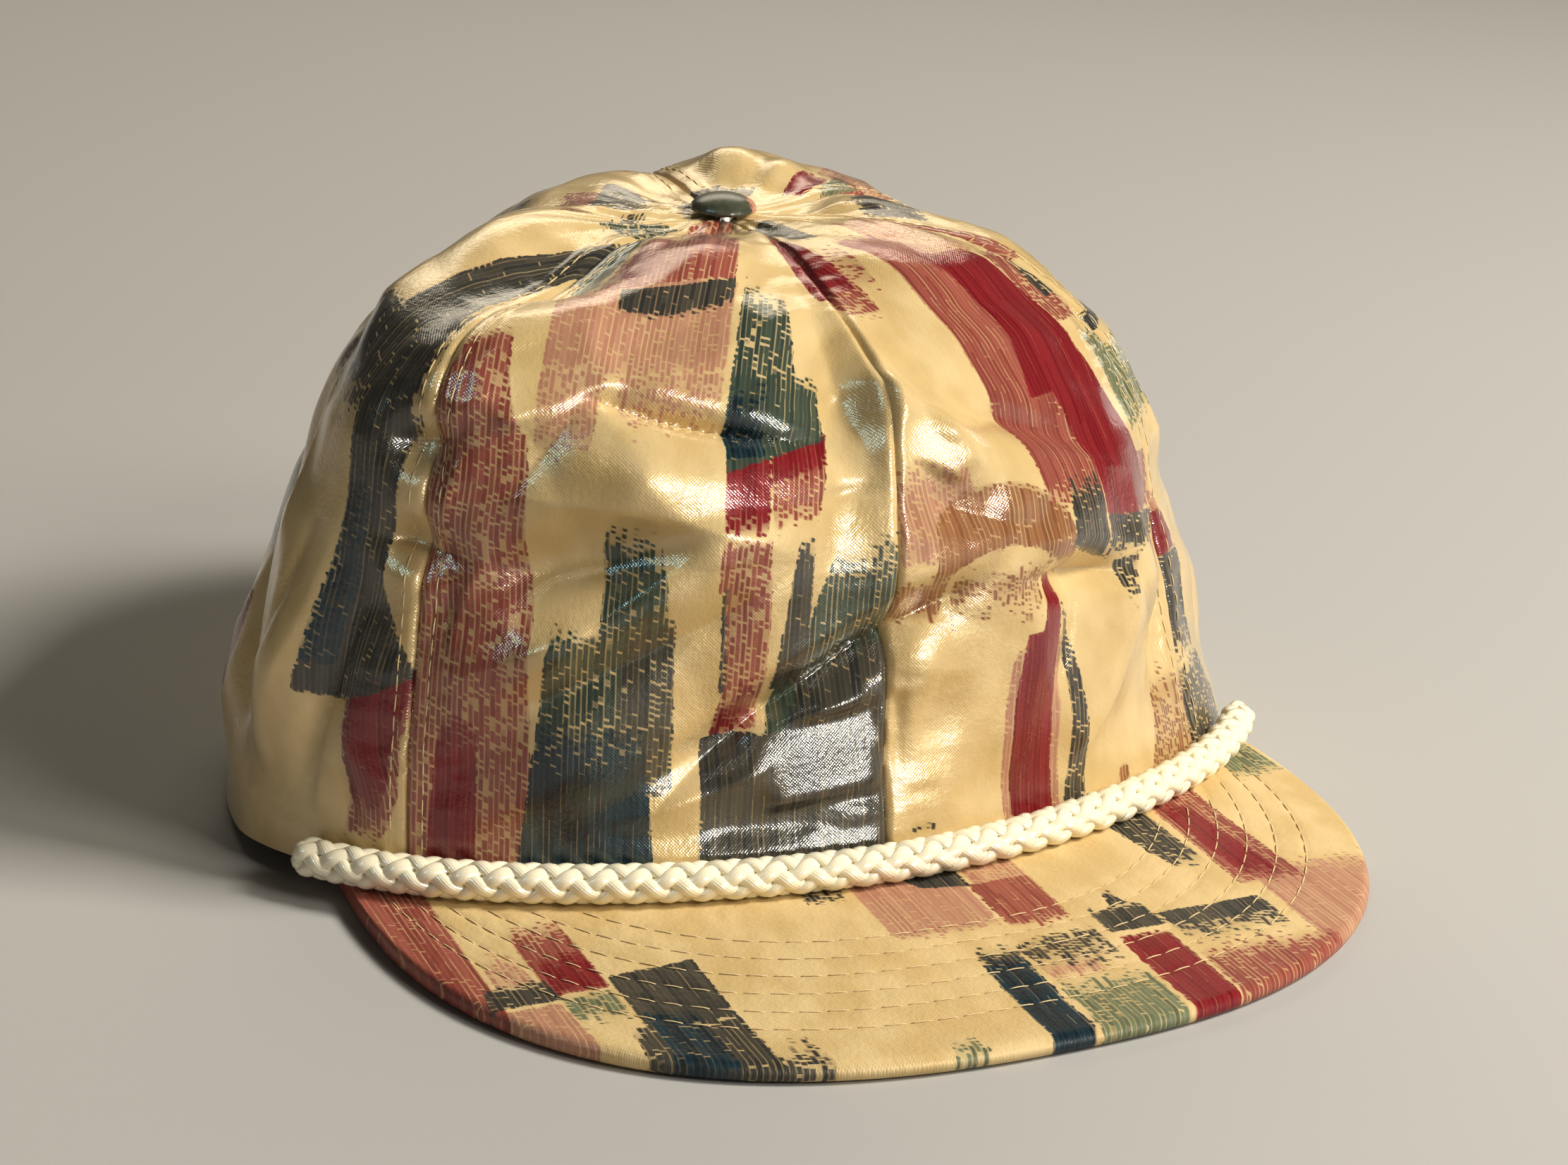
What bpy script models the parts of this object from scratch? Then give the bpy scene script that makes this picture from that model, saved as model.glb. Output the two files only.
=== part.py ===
"""Soft six-panel rope cap of printed cloth, lying on its brim and on the back of its hem.

Metres, +Z up, brim towards -Y, so +X is the wearer's left. The table is z = 0.
A place on the crown is a turn (degrees round the hem, 0 at the front, + towards +X)
and a level (0 at the hem, 1 at the hole under the button).
"""
import math

import bmesh
import bpy
import numpy as np

# Hem of the crown, a rounded outline flattened at the front
HEM_HALF_WIDTH = 0.103
HEM_FRONT_REACH = 0.060
HEM_BACK_REACH = 0.108
HEM_POWER = 1.82

# Crown
CROWN_TOP = 0.1075
BUTTON_SIDE_SHIFT = -0.0026
BUTTON_BACK_SHIFT = 0.0178
CENTRE_HOLE_RADIUS = 0.003
WALL = 0.0015
SEAM_GAP = 0.0003
PANEL_SWELL = 0.0016
PETAL_HEIGHT = 0.0075
FOLD_DEPTH = 0.005

# Brim
BRIM_HALF_WIDTH = 0.0948
BRIM_REACH = 0.122
BRIM_ROUND_LENGTH = 0.0868
BRIM_SIDE_SHIFT = 0.003
BRIM_POWER = 2.44
BRIM_THICKNESS = 0.0036
BRIM_SLOPE = 0.032
BRIM_ARCH_DROP = 0.0027
BRIM_FLAT = 0.0003
BRIM_TUCK = 0.005

# Rope
ROPE_DIAMETER = 0.0068
FIT_GAP = 0.0003
ROPE_END_TURN = 68.5

# Button, with the rivet that holds it
BUTTON_DIAMETER = 0.0126
BUTTON_HEIGHT = 0.0042
BUTTON_EDGE = 0.0014
STEM_CLEARANCE = 0.0005
RIVET_FOOT_RADIUS = 0.0052
RIVET_FOOT_THICKNESS = 0.0008

# Seams and where the hem comes down to the table, in degrees of turn
SIDE_SEAM = 54.0
BACK_SEAM = 118.0
HEM_DOWN_TURN = 128.0

# Levels of the crown between which its swells, petals and folds stand out:
# where they start, where they are full, where they begin to fade and where they end
FLAT_TOP_LEVEL = 0.95
SWELL_LEVELS = (0.06, 0.26, 0.80, FLAT_TOP_LEVEL)
PETAL_LEVELS = (0.66, 0.82, 0.84, FLAT_TOP_LEVEL)
FOLD_LEVELS = (0.05, 0.17, 0.84, FLAT_TOP_LEVEL)

# Steps over which directions and spans are measured on the crown
TURN_STEP = 0.25
LEVEL_STEP = 0.004

# Facets
PANEL_COLUMNS = 12
PANEL_ROWS = 21
BRIM_COLUMNS = 44
BRIM_ROWS = 6
BRIM_EDGE_ANGLES = (45, 0, -45)
ROPE_POINTS = 31
ROPE_ROUNDING = 3
BUTTON_SIDES = 20
BUTTON_DOME_ROWS = 5
PANEL_SMOOTH_ANGLE = 50
TRIM_SMOOTH_ANGLE = 40
MERGE_DISTANCE = 0.00001

# Reach of the crown at each level, as shares of the reach of the hem. The columns are
# level, height share, then the share towards the back, back right, right, right seam,
# front, left seam, left and back left, where right and left are the wearer's.
SECTION_TURNS = (-180.0, -126.0, -90.0, -54.0, 0.0, 54.0, 90.0, 126.0)
SECTIONS = (
    (0.00, 0.000, 1.000, 1.000, 1.000, 1.000, 1.000, 1.000, 1.000, 1.000),
    (0.12, 0.175, 0.955, 0.970, 0.985, 1.000, 0.980, 0.945, 0.945, 0.950),
    (0.24, 0.355, 0.910, 0.905, 0.930, 0.980, 0.980, 0.905, 0.885, 0.905),
    (0.36, 0.520, 0.870, 0.840, 0.885, 0.960, 0.970, 0.855, 0.795, 0.865),
    (0.47, 0.670, 0.820, 0.755, 0.830, 0.940, 0.905, 0.815, 0.730, 0.805),
    (0.58, 0.810, 0.740, 0.655, 0.760, 0.905, 0.805, 0.735, 0.635, 0.725),
    (0.68, 0.910, 0.625, 0.520, 0.665, 0.810, 0.655, 0.620, 0.500, 0.605),
    (0.78, 0.972, 0.475, 0.365, 0.510, 0.610, 0.470, 0.485, 0.350, 0.455),
    (0.88, 1.005, 0.275, 0.210, 0.295, 0.335, 0.250, 0.275, 0.195, 0.265),
    (FLAT_TOP_LEVEL, 1.000, 0.130, 0.110, 0.125, 0.140, 0.110, 0.120, 0.100, 0.125),
    (1.00, 1.000, 0.000, 0.000, 0.000, 0.000, 0.000, 0.000, 0.000, 0.000),
)

# Folds, dents and swells of the cloth. The columns are turn, level, half length and half
# width as shares of the crown's height, lean in degrees from straight up towards +turn,
# and push as a share of FOLD_DEPTH, + outwards.
FOLDS = (
    (-25.0, 0.58, 0.16, 0.030, 113.0, -0.55),
    (-27.0, 0.50, 0.20, 0.110, 105.0, 0.60),
    (-37.0, 0.40, 0.22, 0.080, 62.0, -0.85),
    (-32.0, 0.34, 0.24, 0.045, 50.0, 0.50),
    (-11.0, 0.23, 0.34, 0.035, 54.0, -0.60),
    (-6.0, 0.18, 0.30, 0.080, 54.0, 0.50),
    (-56.0, 0.54, 0.06, 0.050, 80.0, -0.80),
    (-56.0, 0.42, 0.07, 0.045, 95.0, -0.90),
    (-50.0, 0.67, 0.17, 0.120, 30.0, 0.90),
    (-54.0, 0.80, 0.12, 0.090, 90.0, -0.80),
    (0.0, 0.57, 0.22, 0.035, 0.0, 0.70),
    (7.0, 0.54, 0.14, 0.045, 145.0, 0.50),
    (-6.0, 0.60, 0.09, 0.050, 20.0, -0.60),
    (20.0, 0.28, 0.20, 0.045, 20.0, -0.75),
    (28.0, 0.32, 0.11, 0.035, 100.0, -0.70),
    (12.0, 0.40, 0.16, 0.110, 80.0, 0.60),
    (22.0, 0.53, 0.14, 0.035, 120.0, -0.50),
    (38.0, 0.25, 0.22, 0.100, 15.0, 0.70),
    (49.0, 0.19, 0.18, 0.040, 12.0, -0.85),
    (-67.0, 0.19, 0.24, 0.045, 15.0, -0.75),
    (-78.0, 0.27, 0.24, 0.090, 10.0, 0.80),
    (-96.0, 0.22, 0.26, 0.060, -8.0, -0.70),
    (82.0, 0.40, 0.25, 0.070, -12.0, -0.70),
    (104.0, 0.30, 0.28, 0.090, 8.0, 0.60),
    (140.0, 0.34, 0.30, 0.060, -14.0, -0.80),
    (-150.0, 0.42, 0.30, 0.060, 16.0, -0.80),
    (168.0, 0.20, 0.24, 0.050, 24.0, -0.60),
    (-126.0, 0.20, 0.22, 0.080, -10.0, 0.60),
)

# Panels: name, first seam, second seam, petal beside the button as a share of PETAL_HEIGHT
PANELS = (
    ("panel_front_right", -SIDE_SEAM, 0.0, 0.30),
    ("panel_front_left", 0.0, SIDE_SEAM, 0.35),
    ("panel_side_right", -BACK_SEAM, -SIDE_SEAM, 0.50),
    ("panel_side_left", SIDE_SEAM, BACK_SEAM, 0.10),
    ("panel_back_right", -180.0, -BACK_SEAM, 0.12),
    ("panel_back_left", BACK_SEAM, 180.0, 0.58),
)

# Materials: name, colour, roughness
CLOTH = ("printed_cloth", (0.74, 0.60, 0.36, 1.0), 0.32)
BRIM_CLOTH = ("brim_cloth", (0.72, 0.58, 0.36, 1.0), 0.55)
CORD = ("rope_cord", (0.86, 0.82, 0.70, 1.0), 0.45)
BUTTON_CLOTH = ("button_cloth", (0.10, 0.12, 0.10, 1.0), 0.45)

HEM_CENTRE_Y = (BRIM_REACH - HEM_BACK_REACH) / 2
BRIM_FRONT_Y = HEM_CENTRE_Y - BRIM_REACH
BUTTON_X = BUTTON_SIDE_SHIFT
BUTTON_Y = HEM_CENTRE_Y + BUTTON_BACK_SHIFT
PROFILE_LENGTH = CROWN_TOP + (HEM_FRONT_REACH + HEM_BACK_REACH) / 3


def clear_scene():
    for thing in list(bpy.data.objects):
        bpy.data.objects.remove(thing, do_unlink=True)


def signed_power(value, power):
    return np.sign(value) * np.abs(value) ** power


def smooth_step(share):
    share = np.clip(share, 0.0, 1.0)
    return share * share * (3 - 2 * share)


def level_window(level, levels):
    start, full, fade, end = levels
    return smooth_step((level - start) / (full - start)) * (1 - smooth_step((level - fade) / (end - fade)))


def curve_value(stations, values, at):
    """Smooth curve without overshoot: values has one row for each place in at."""
    stations = np.asarray(stations)
    steps = np.diff(stations)
    slopes = np.diff(values, axis=1) / steps
    before = slopes[:, :-1]
    after = slopes[:, 1:]
    same_way = before * after > 0
    mean = np.where(same_way, 2 * before * after / np.where(same_way, before + after, 1.0), 0.0)
    tangents = np.concatenate([slopes[:, :1], mean, slopes[:, -1:]], axis=1)
    cell = np.clip(np.searchsorted(stations, at, side="right") - 1, 0, len(steps) - 1)
    row = np.arange(len(at))
    width = steps[cell]
    part = (at - stations[cell]) / width
    start = values[row, cell]
    end = values[row, cell + 1]
    pull_start = tangents[row, cell] * width
    pull_end = tangents[row, cell + 1] * width
    return (start * (1 + 2 * part) * (1 - part) ** 2 + end * part ** 2 * (3 - 2 * part)
            + pull_start * part * (1 - part) ** 2 - pull_end * part ** 2 * (1 - part))


def hem_outline(turn):
    angle = np.radians(turn)
    reach = np.where(np.cos(angle) > 0, HEM_FRONT_REACH, HEM_BACK_REACH)
    x = HEM_HALF_WIDTH * signed_power(np.sin(angle), 2 / HEM_POWER)
    y = HEM_CENTRE_Y - reach * signed_power(np.cos(angle), 2 / HEM_POWER)
    return x, y


def brim_outline(swing):
    angle = np.radians(swing)
    x = BRIM_SIDE_SHIFT + BRIM_HALF_WIDTH * signed_power(np.sin(angle), 2 / BRIM_POWER)
    forward = BRIM_ROUND_LENGTH * signed_power(np.cos(angle), 2 / BRIM_POWER)
    y = BRIM_FRONT_Y + BRIM_ROUND_LENGTH - forward
    return x, y


def brim_underside(x, y):
    arch = BRIM_ARCH_DROP * (x / BRIM_HALF_WIDTH) ** 2
    rise = BRIM_SLOPE * (y - BRIM_FRONT_Y) - arch - BRIM_FLAT
    return np.maximum(rise, 0.0)


def brim_top(x, y):
    return brim_underside(x, y) + BRIM_THICKNESS


def hem_height(turn):
    """On the brim at the front, then down to the table at the back."""
    x, y = hem_outline(np.clip(turn, -ROPE_END_TURN, ROPE_END_TURN))
    on_brim = brim_top(x, y) + FIT_GAP
    down = smooth_step((np.abs(turn) - ROPE_END_TURN) / (HEM_DOWN_TURN - ROPE_END_TURN))
    return on_brim * (1 - down)


def section_share(turn, level):
    table = np.array(SECTIONS)
    places = len(level)
    shares = [curve_value(table[:, 0], np.tile(column, (places, 1)), level) for column in table[:, 2:].T]
    around = np.stack(shares[-2:] + shares + shares[:2], axis=1)
    turns = np.array(SECTION_TURNS)
    wrapped = np.concatenate([turns[-2:] - 360, turns, turns[:2] + 360])
    return curve_value(wrapped, around, turn)


def base_point(turn, level):
    """The crown before its swells and folds."""
    table = np.array(SECTIONS)
    hem_x, hem_y = hem_outline(turn)
    reach_x = hem_x - BUTTON_X
    reach_y = hem_y - BUTTON_Y
    reach = np.hypot(reach_x, reach_y)
    ring = CENTRE_HOLE_RADIUS + (reach - CENTRE_HOLE_RADIUS) * section_share(turn, level)
    height = curve_value(table[:, 0], np.tile(table[:, 1], (len(level), 1)), level)
    low = hem_height(turn)
    x = BUTTON_X + reach_x / reach * ring
    y = BUTTON_Y + reach_y / reach * ring
    return np.stack([x, y, low + (CROWN_TOP - low) * height], axis=1)


def base_normal(turn, level):
    along = base_point(turn + TURN_STEP, level) - base_point(turn - TURN_STEP, level)
    upper = np.minimum(level + LEVEL_STEP, 1.0)
    lower = np.maximum(level - LEVEL_STEP, 0.0)
    up = base_point(turn, upper) - base_point(turn, lower)
    normal = np.cross(along, up)
    return normal / np.linalg.norm(normal, axis=1, keepdims=True)


def panel_swell(turn, level, first_seam, second_seam, petal):
    """Each panel stands out between its seams, most of all beside the button."""
    across = np.sin(np.pi * np.clip((turn - first_seam) / (second_seam - first_seam), 0, 1))
    swell = PANEL_SWELL * level_window(level, SWELL_LEVELS)
    return across * (swell + PETAL_HEIGHT * petal * level_window(level, PETAL_LEVELS))


def fold_push(turn, level, ring_radius):
    push = np.zeros(len(level))
    for fold_turn, fold_level, half_length, half_width, lean, share in FOLDS:
        turned = (turn - fold_turn + 180) % 360 - 180
        around = np.radians(turned) * ring_radius
        up = (level - fold_level) * PROFILE_LENGTH
        cosine = math.cos(math.radians(lean))
        sine = math.sin(math.radians(lean))
        along = (up * cosine + around * sine) / (half_length * CROWN_TOP)
        across = (around * cosine - up * sine) / (half_width * CROWN_TOP)
        push += FOLD_DEPTH * share * np.exp(-along ** 2 - across ** 2)
    return push * level_window(level, FOLD_LEVELS)


def crown_layers(turn, level, panel):
    """Outer and inner surface of one panel at the given places."""
    first_seam, second_seam, petal = panel[1:]
    outer = base_point(turn, level)
    normal = base_normal(turn, level)
    ring_radius = np.hypot(outer[:, 0] - BUTTON_X, outer[:, 1] - BUTTON_Y)
    out = panel_swell(turn, level, first_seam, second_seam, petal) + fold_push(turn, level, ring_radius)
    outer = outer + normal * out[:, None]
    inner = outer - normal * WALL
    at_hem = level == 0
    inner[at_hem, 2] = outer[at_hem, 2]
    return outer, inner


def seam_inset(seam, levels):
    """Half the seam gap, as degrees of turn at each level."""
    here = np.full(len(levels), seam)
    step = base_point(here + TURN_STEP, levels) - base_point(here - TURN_STEP, levels)
    return SEAM_GAP * TURN_STEP / np.linalg.norm(step, axis=1)


def new_object(name, mesh, material):
    shade, colour, roughness = material
    if shade not in bpy.data.materials:
        finish = bpy.data.materials.new(shade)
        finish.use_nodes = True
        principled = finish.node_tree.nodes["Principled BSDF"]
        principled.inputs["Base Color"].default_value = colour
        principled.inputs["Roughness"].default_value = roughness
        principled.inputs["Metallic"].default_value = 0.0
    mesh.materials.append(bpy.data.materials[shade])
    thing = bpy.data.objects.new(name, mesh)
    bpy.context.collection.objects.link(thing)
    return thing


def mesh_from(name, points, faces, smooth_angle):
    mesh = bpy.data.meshes.new(name)
    mesh.from_pydata([tuple(point) for point in points], [], faces)
    work = bmesh.new()
    work.from_mesh(mesh)
    bmesh.ops.triangulate(work, faces=work.faces[:])
    work.to_mesh(mesh)
    work.free()
    mesh.shade_smooth()
    mesh.set_sharp_from_angle(angle=math.radians(smooth_angle))
    return mesh


def grid_faces(rows, columns, first, flip):
    faces = []
    for row in range(rows):
        for column in range(columns):
            low = first + row * (columns + 1) + column
            high = low + columns + 1
            quad = (low, low + 1, high + 1, high)
            faces.append(quad[::-1] if flip else quad)
    return faces


def border_indices(rows, columns):
    wide = columns + 1
    bottom = list(range(columns))
    right = [row * wide + columns for row in range(rows)]
    top = [rows * wide + column for column in range(columns, 0, -1)]
    left = [row * wide for row in range(rows, 0, -1)]
    return bottom + right + top + left


def make_panel(panel):
    name, first_seam, second_seam = panel[:3]
    levels = np.linspace(0.0, 1.0, PANEL_ROWS + 1)
    starts = first_seam + seam_inset(first_seam, levels)
    ends = second_seam - seam_inset(second_seam, levels)
    shares = np.linspace(0.0, 1.0, PANEL_COLUMNS + 1)
    turn = (starts[:, None] + (ends - starts)[:, None] * shares).ravel()
    level = np.repeat(levels, PANEL_COLUMNS + 1)
    outer, inner = crown_layers(turn, level, panel)
    count = len(outer)
    faces = grid_faces(PANEL_ROWS, PANEL_COLUMNS, 0, False)
    faces += grid_faces(PANEL_ROWS, PANEL_COLUMNS, count, True)
    border = border_indices(PANEL_ROWS, PANEL_COLUMNS)
    for here, after in zip(border, border[1:] + border[:1]):
        faces.append((here, here + count, after + count, after))
    mesh = mesh_from(name, np.concatenate([outer, inner]), faces, PANEL_SMOOTH_ANGLE)
    return new_object(name, mesh, CLOTH)


def brim_swing(turn):
    """The place on the brim's outer edge that faces a turn of the hem."""
    return turn * BRIM_END_SWING / ROPE_END_TURN


def find_brim_end():
    """The swing where the outer edge comes level with the brim's corners."""
    corner_y = float(hem_outline(np.array([ROPE_END_TURN]))[1][0])
    forward = (BRIM_FRONT_Y + BRIM_ROUND_LENGTH - corner_y) / BRIM_ROUND_LENGTH
    return math.degrees(math.acos(float(signed_power(forward, BRIM_POWER / 2))))


BRIM_END_SWING = find_brim_end()


def brim_column(turn):
    """One closed cross-section of the brim, from its tucked edge to its wrapped edge."""
    hem_x, hem_y = hem_outline(np.array([turn]))
    hem = np.array([hem_x[0], hem_y[0]])
    middle = np.array([BUTTON_X, BUTTON_Y])
    inwards = (middle - hem) / np.linalg.norm(middle - hem)
    tucked = hem + inwards * BRIM_TUCK
    edge = np.array([float(value) for value in brim_outline(brim_swing(turn))])
    span = np.linalg.norm(edge - tucked)
    way = (edge - tucked) / span
    radius = BRIM_THICKNESS / 2
    flat_reaches = np.linspace(0.0, span - radius, BRIM_ROWS)
    loop = []
    for reach in flat_reaches:
        x, y = tucked + way * reach
        loop.append((x, y, brim_top(x, y)))
    for angle in BRIM_EDGE_ANGLES:
        x, y = tucked + way * (span - radius + radius * math.cos(math.radians(angle)))
        loop.append((x, y, brim_underside(x, y) + radius + radius * math.sin(math.radians(angle))))
    for reach in flat_reaches[::-1]:
        x, y = tucked + way * reach
        loop.append((x, y, brim_underside(x, y)))
    return loop


def make_brim():
    turns = np.linspace(-ROPE_END_TURN, ROPE_END_TURN, BRIM_COLUMNS + 1)
    columns = [brim_column(turn) for turn in turns]
    size = len(columns[0])
    faces = [tuple(range(size))[::-1], tuple(range(BRIM_COLUMNS * size, (BRIM_COLUMNS + 1) * size))]
    for column in range(BRIM_COLUMNS):
        for place in range(size):
            here = column * size + place
            after = column * size + (place + 1) % size
            faces.append((here, after, after + size, here + size))
    points = [point for column in columns for point in column]
    mesh = mesh_from("brim", points, faces, TRIM_SMOOTH_ANGLE)
    return new_object("brim", mesh, BRIM_CLOTH)


def rope_centre(turn):
    """Against the crown's wall and on the brim."""
    x, y = hem_outline(np.array([turn, turn - TURN_STEP, turn + TURN_STEP]))
    way = np.array([x[2] - x[1], y[2] - y[1]])
    way /= np.linalg.norm(way)
    outwards = np.array([way[1], -way[0]])
    off_wall = ROPE_DIAMETER / 2 + FIT_GAP
    place = np.array([x[0], y[0]]) + outwards * off_wall
    return place[0], place[1], brim_top(*place) + off_wall


def make_rope():
    curve = bpy.data.curves.new("rope_braid", "CURVE")
    curve.dimensions = "3D"
    curve.bevel_depth = ROPE_DIAMETER / 2
    curve.bevel_resolution = ROPE_ROUNDING
    curve.use_fill_caps = True
    spline = curve.splines.new("POLY")
    spline.points.add(ROPE_POINTS - 1)
    turns = np.linspace(-ROPE_END_TURN, ROPE_END_TURN, ROPE_POINTS)
    for point, turn in zip(spline.points, turns):
        point.co = (*rope_centre(turn), 1.0)
    return new_object("rope_braid", curve, CORD)


def make_button():
    """A turned dome with its stem and the rivet foot inside the crown."""
    radius = BUTTON_DIAMETER / 2
    stem = CENTRE_HOLE_RADIUS - STEM_CLEARANCE
    foot_top = -WALL - 2 * FIT_GAP
    profile = [
        (0.0, foot_top - RIVET_FOOT_THICKNESS),
        (RIVET_FOOT_RADIUS, foot_top - RIVET_FOOT_THICKNESS),
        (RIVET_FOOT_RADIUS, foot_top),
        (stem, foot_top),
        (stem, 0.0),
        (radius - BUTTON_EDGE / 2, 0.0),
        (radius, BUTTON_EDGE / 2),
    ]
    for row in range(BUTTON_DOME_ROWS + 1):
        angle = math.radians(90 * row / BUTTON_DOME_ROWS)
        rise = (BUTTON_HEIGHT - BUTTON_EDGE) * math.sin(angle)
        profile.append((radius * math.cos(angle), BUTTON_EDGE + rise))
    profile[-1] = (0.0, BUTTON_HEIGHT)
    work = bmesh.new()
    points = [work.verts.new((reach, 0.0, height)) for reach, height in profile]
    edges = [work.edges.new(pair) for pair in zip(points, points[1:])]
    bmesh.ops.spin(work, geom=points + edges, cent=(0, 0, 0), axis=(0, 0, 1),
                   angle=2 * math.pi, steps=BUTTON_SIDES, use_merge=True)
    bmesh.ops.remove_doubles(work, verts=work.verts[:], dist=MERGE_DISTANCE)
    bmesh.ops.recalc_face_normals(work, faces=work.faces[:])
    mesh = bpy.data.meshes.new("button")
    work.to_mesh(mesh)
    work.free()
    mesh.shade_smooth()
    mesh.set_sharp_from_angle(angle=math.radians(TRIM_SMOOTH_ANGLE))
    button = new_object("button", mesh, BUTTON_CLOTH)
    button.location = (BUTTON_X, BUTTON_Y, CROWN_TOP + FIT_GAP)
    return button


clear_scene()
for panel_row in PANELS:
    make_panel(panel_row)
make_brim()
make_rope()
make_button()
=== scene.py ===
"""Looks of a soft six-panel rope cap: printed crown, wrapped brim, plaited rope and covered button.

Metres, +Z up, brim towards -Y. A place on the crown is a turn (degrees round the hem, 0 at
the front, + towards +X) and a level (0 at the hem, 1 at the hole under the button). Places on
the cloth itself are in millimetres: across from a panel's middle and up from its hem.
"""
import math

import bmesh
import bpy
import numpy as np
from mathutils import Matrix, Vector


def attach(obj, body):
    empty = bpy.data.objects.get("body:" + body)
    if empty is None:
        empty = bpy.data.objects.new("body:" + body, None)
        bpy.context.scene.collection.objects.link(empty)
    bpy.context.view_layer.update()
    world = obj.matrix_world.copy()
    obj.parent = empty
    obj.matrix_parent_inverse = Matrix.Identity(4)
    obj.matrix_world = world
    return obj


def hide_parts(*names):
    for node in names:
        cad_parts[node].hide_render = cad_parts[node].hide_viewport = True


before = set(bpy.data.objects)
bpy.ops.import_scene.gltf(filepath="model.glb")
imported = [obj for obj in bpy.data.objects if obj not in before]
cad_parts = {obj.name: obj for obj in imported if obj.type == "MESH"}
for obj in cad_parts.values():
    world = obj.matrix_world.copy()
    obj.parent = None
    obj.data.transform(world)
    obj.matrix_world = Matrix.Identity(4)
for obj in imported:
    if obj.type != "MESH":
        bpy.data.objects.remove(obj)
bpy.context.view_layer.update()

MM = 0.001

# Hem, crown, brim, rope and button, at the sizes of the solids
HEM_HALF_WIDTH = 0.103
HEM_FRONT_REACH = 0.060
HEM_BACK_REACH = 0.108
HEM_POWER = 1.82
CROWN_TOP = 0.1075
BUTTON_SIDE_SHIFT = -0.0026
BUTTON_BACK_SHIFT = 0.0178
CENTRE_HOLE_RADIUS = 0.003
WALL = 0.0015
PANEL_SWELL = 0.0016
PETAL_HEIGHT = 0.0075
FOLD_DEPTH = 0.005
BRIM_HALF_WIDTH = 0.0948
BRIM_REACH = 0.122
BRIM_ROUND_LENGTH = 0.0868
BRIM_SIDE_SHIFT = 0.003
BRIM_POWER = 2.44
BRIM_THICKNESS = 0.0036
BRIM_SLOPE = 0.032
BRIM_ARCH_DROP = 0.0027
BRIM_FLAT = 0.0003
BRIM_TUCK = 0.005
ROPE_DIAMETER = 0.0068
FIT_GAP = 0.0003
ROPE_END_TURN = 68.5
BUTTON_DIAMETER = 0.0126
BUTTON_HEIGHT = 0.0042
SIDE_SEAM = 54.0
BACK_SEAM = 118.0
HEM_DOWN_TURN = 128.0
FLAT_TOP_LEVEL = 0.95
SWELL_LEVELS = (0.06, 0.26, 0.80, FLAT_TOP_LEVEL)
PETAL_LEVELS = (0.66, 0.82, 0.84, FLAT_TOP_LEVEL)
FOLD_LEVELS = (0.05, 0.17, 0.84, FLAT_TOP_LEVEL)
TURN_STEP = 0.25
LEVEL_STEP = 0.004

# Reach of the crown at each level: level, height share, then shares of the hem's reach at
# SECTION_TURNS
SECTION_TURNS = (-180.0, -126.0, -90.0, -54.0, 0.0, 54.0, 90.0, 126.0)
SECTIONS = (
    (0.00, 0.000, 1.000, 1.000, 1.000, 1.000, 1.000, 1.000, 1.000, 1.000),
    (0.12, 0.175, 0.955, 0.970, 0.985, 1.000, 0.980, 0.945, 0.945, 0.950),
    (0.24, 0.355, 0.910, 0.905, 0.930, 0.980, 0.980, 0.905, 0.885, 0.905),
    (0.36, 0.520, 0.870, 0.840, 0.885, 0.960, 0.970, 0.855, 0.795, 0.865),
    (0.47, 0.670, 0.820, 0.755, 0.830, 0.940, 0.905, 0.815, 0.730, 0.805),
    (0.58, 0.810, 0.740, 0.655, 0.760, 0.905, 0.805, 0.735, 0.635, 0.725),
    (0.68, 0.910, 0.625, 0.520, 0.665, 0.810, 0.655, 0.620, 0.500, 0.605),
    (0.78, 0.972, 0.475, 0.365, 0.510, 0.610, 0.470, 0.485, 0.350, 0.455),
    (0.88, 1.005, 0.275, 0.210, 0.295, 0.335, 0.250, 0.275, 0.195, 0.265),
    (FLAT_TOP_LEVEL, 1.000, 0.130, 0.110, 0.125, 0.140, 0.110, 0.120, 0.100, 0.125),
    (1.00, 1.000, 0.000, 0.000, 0.000, 0.000, 0.000, 0.000, 0.000, 0.000),
)

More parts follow.
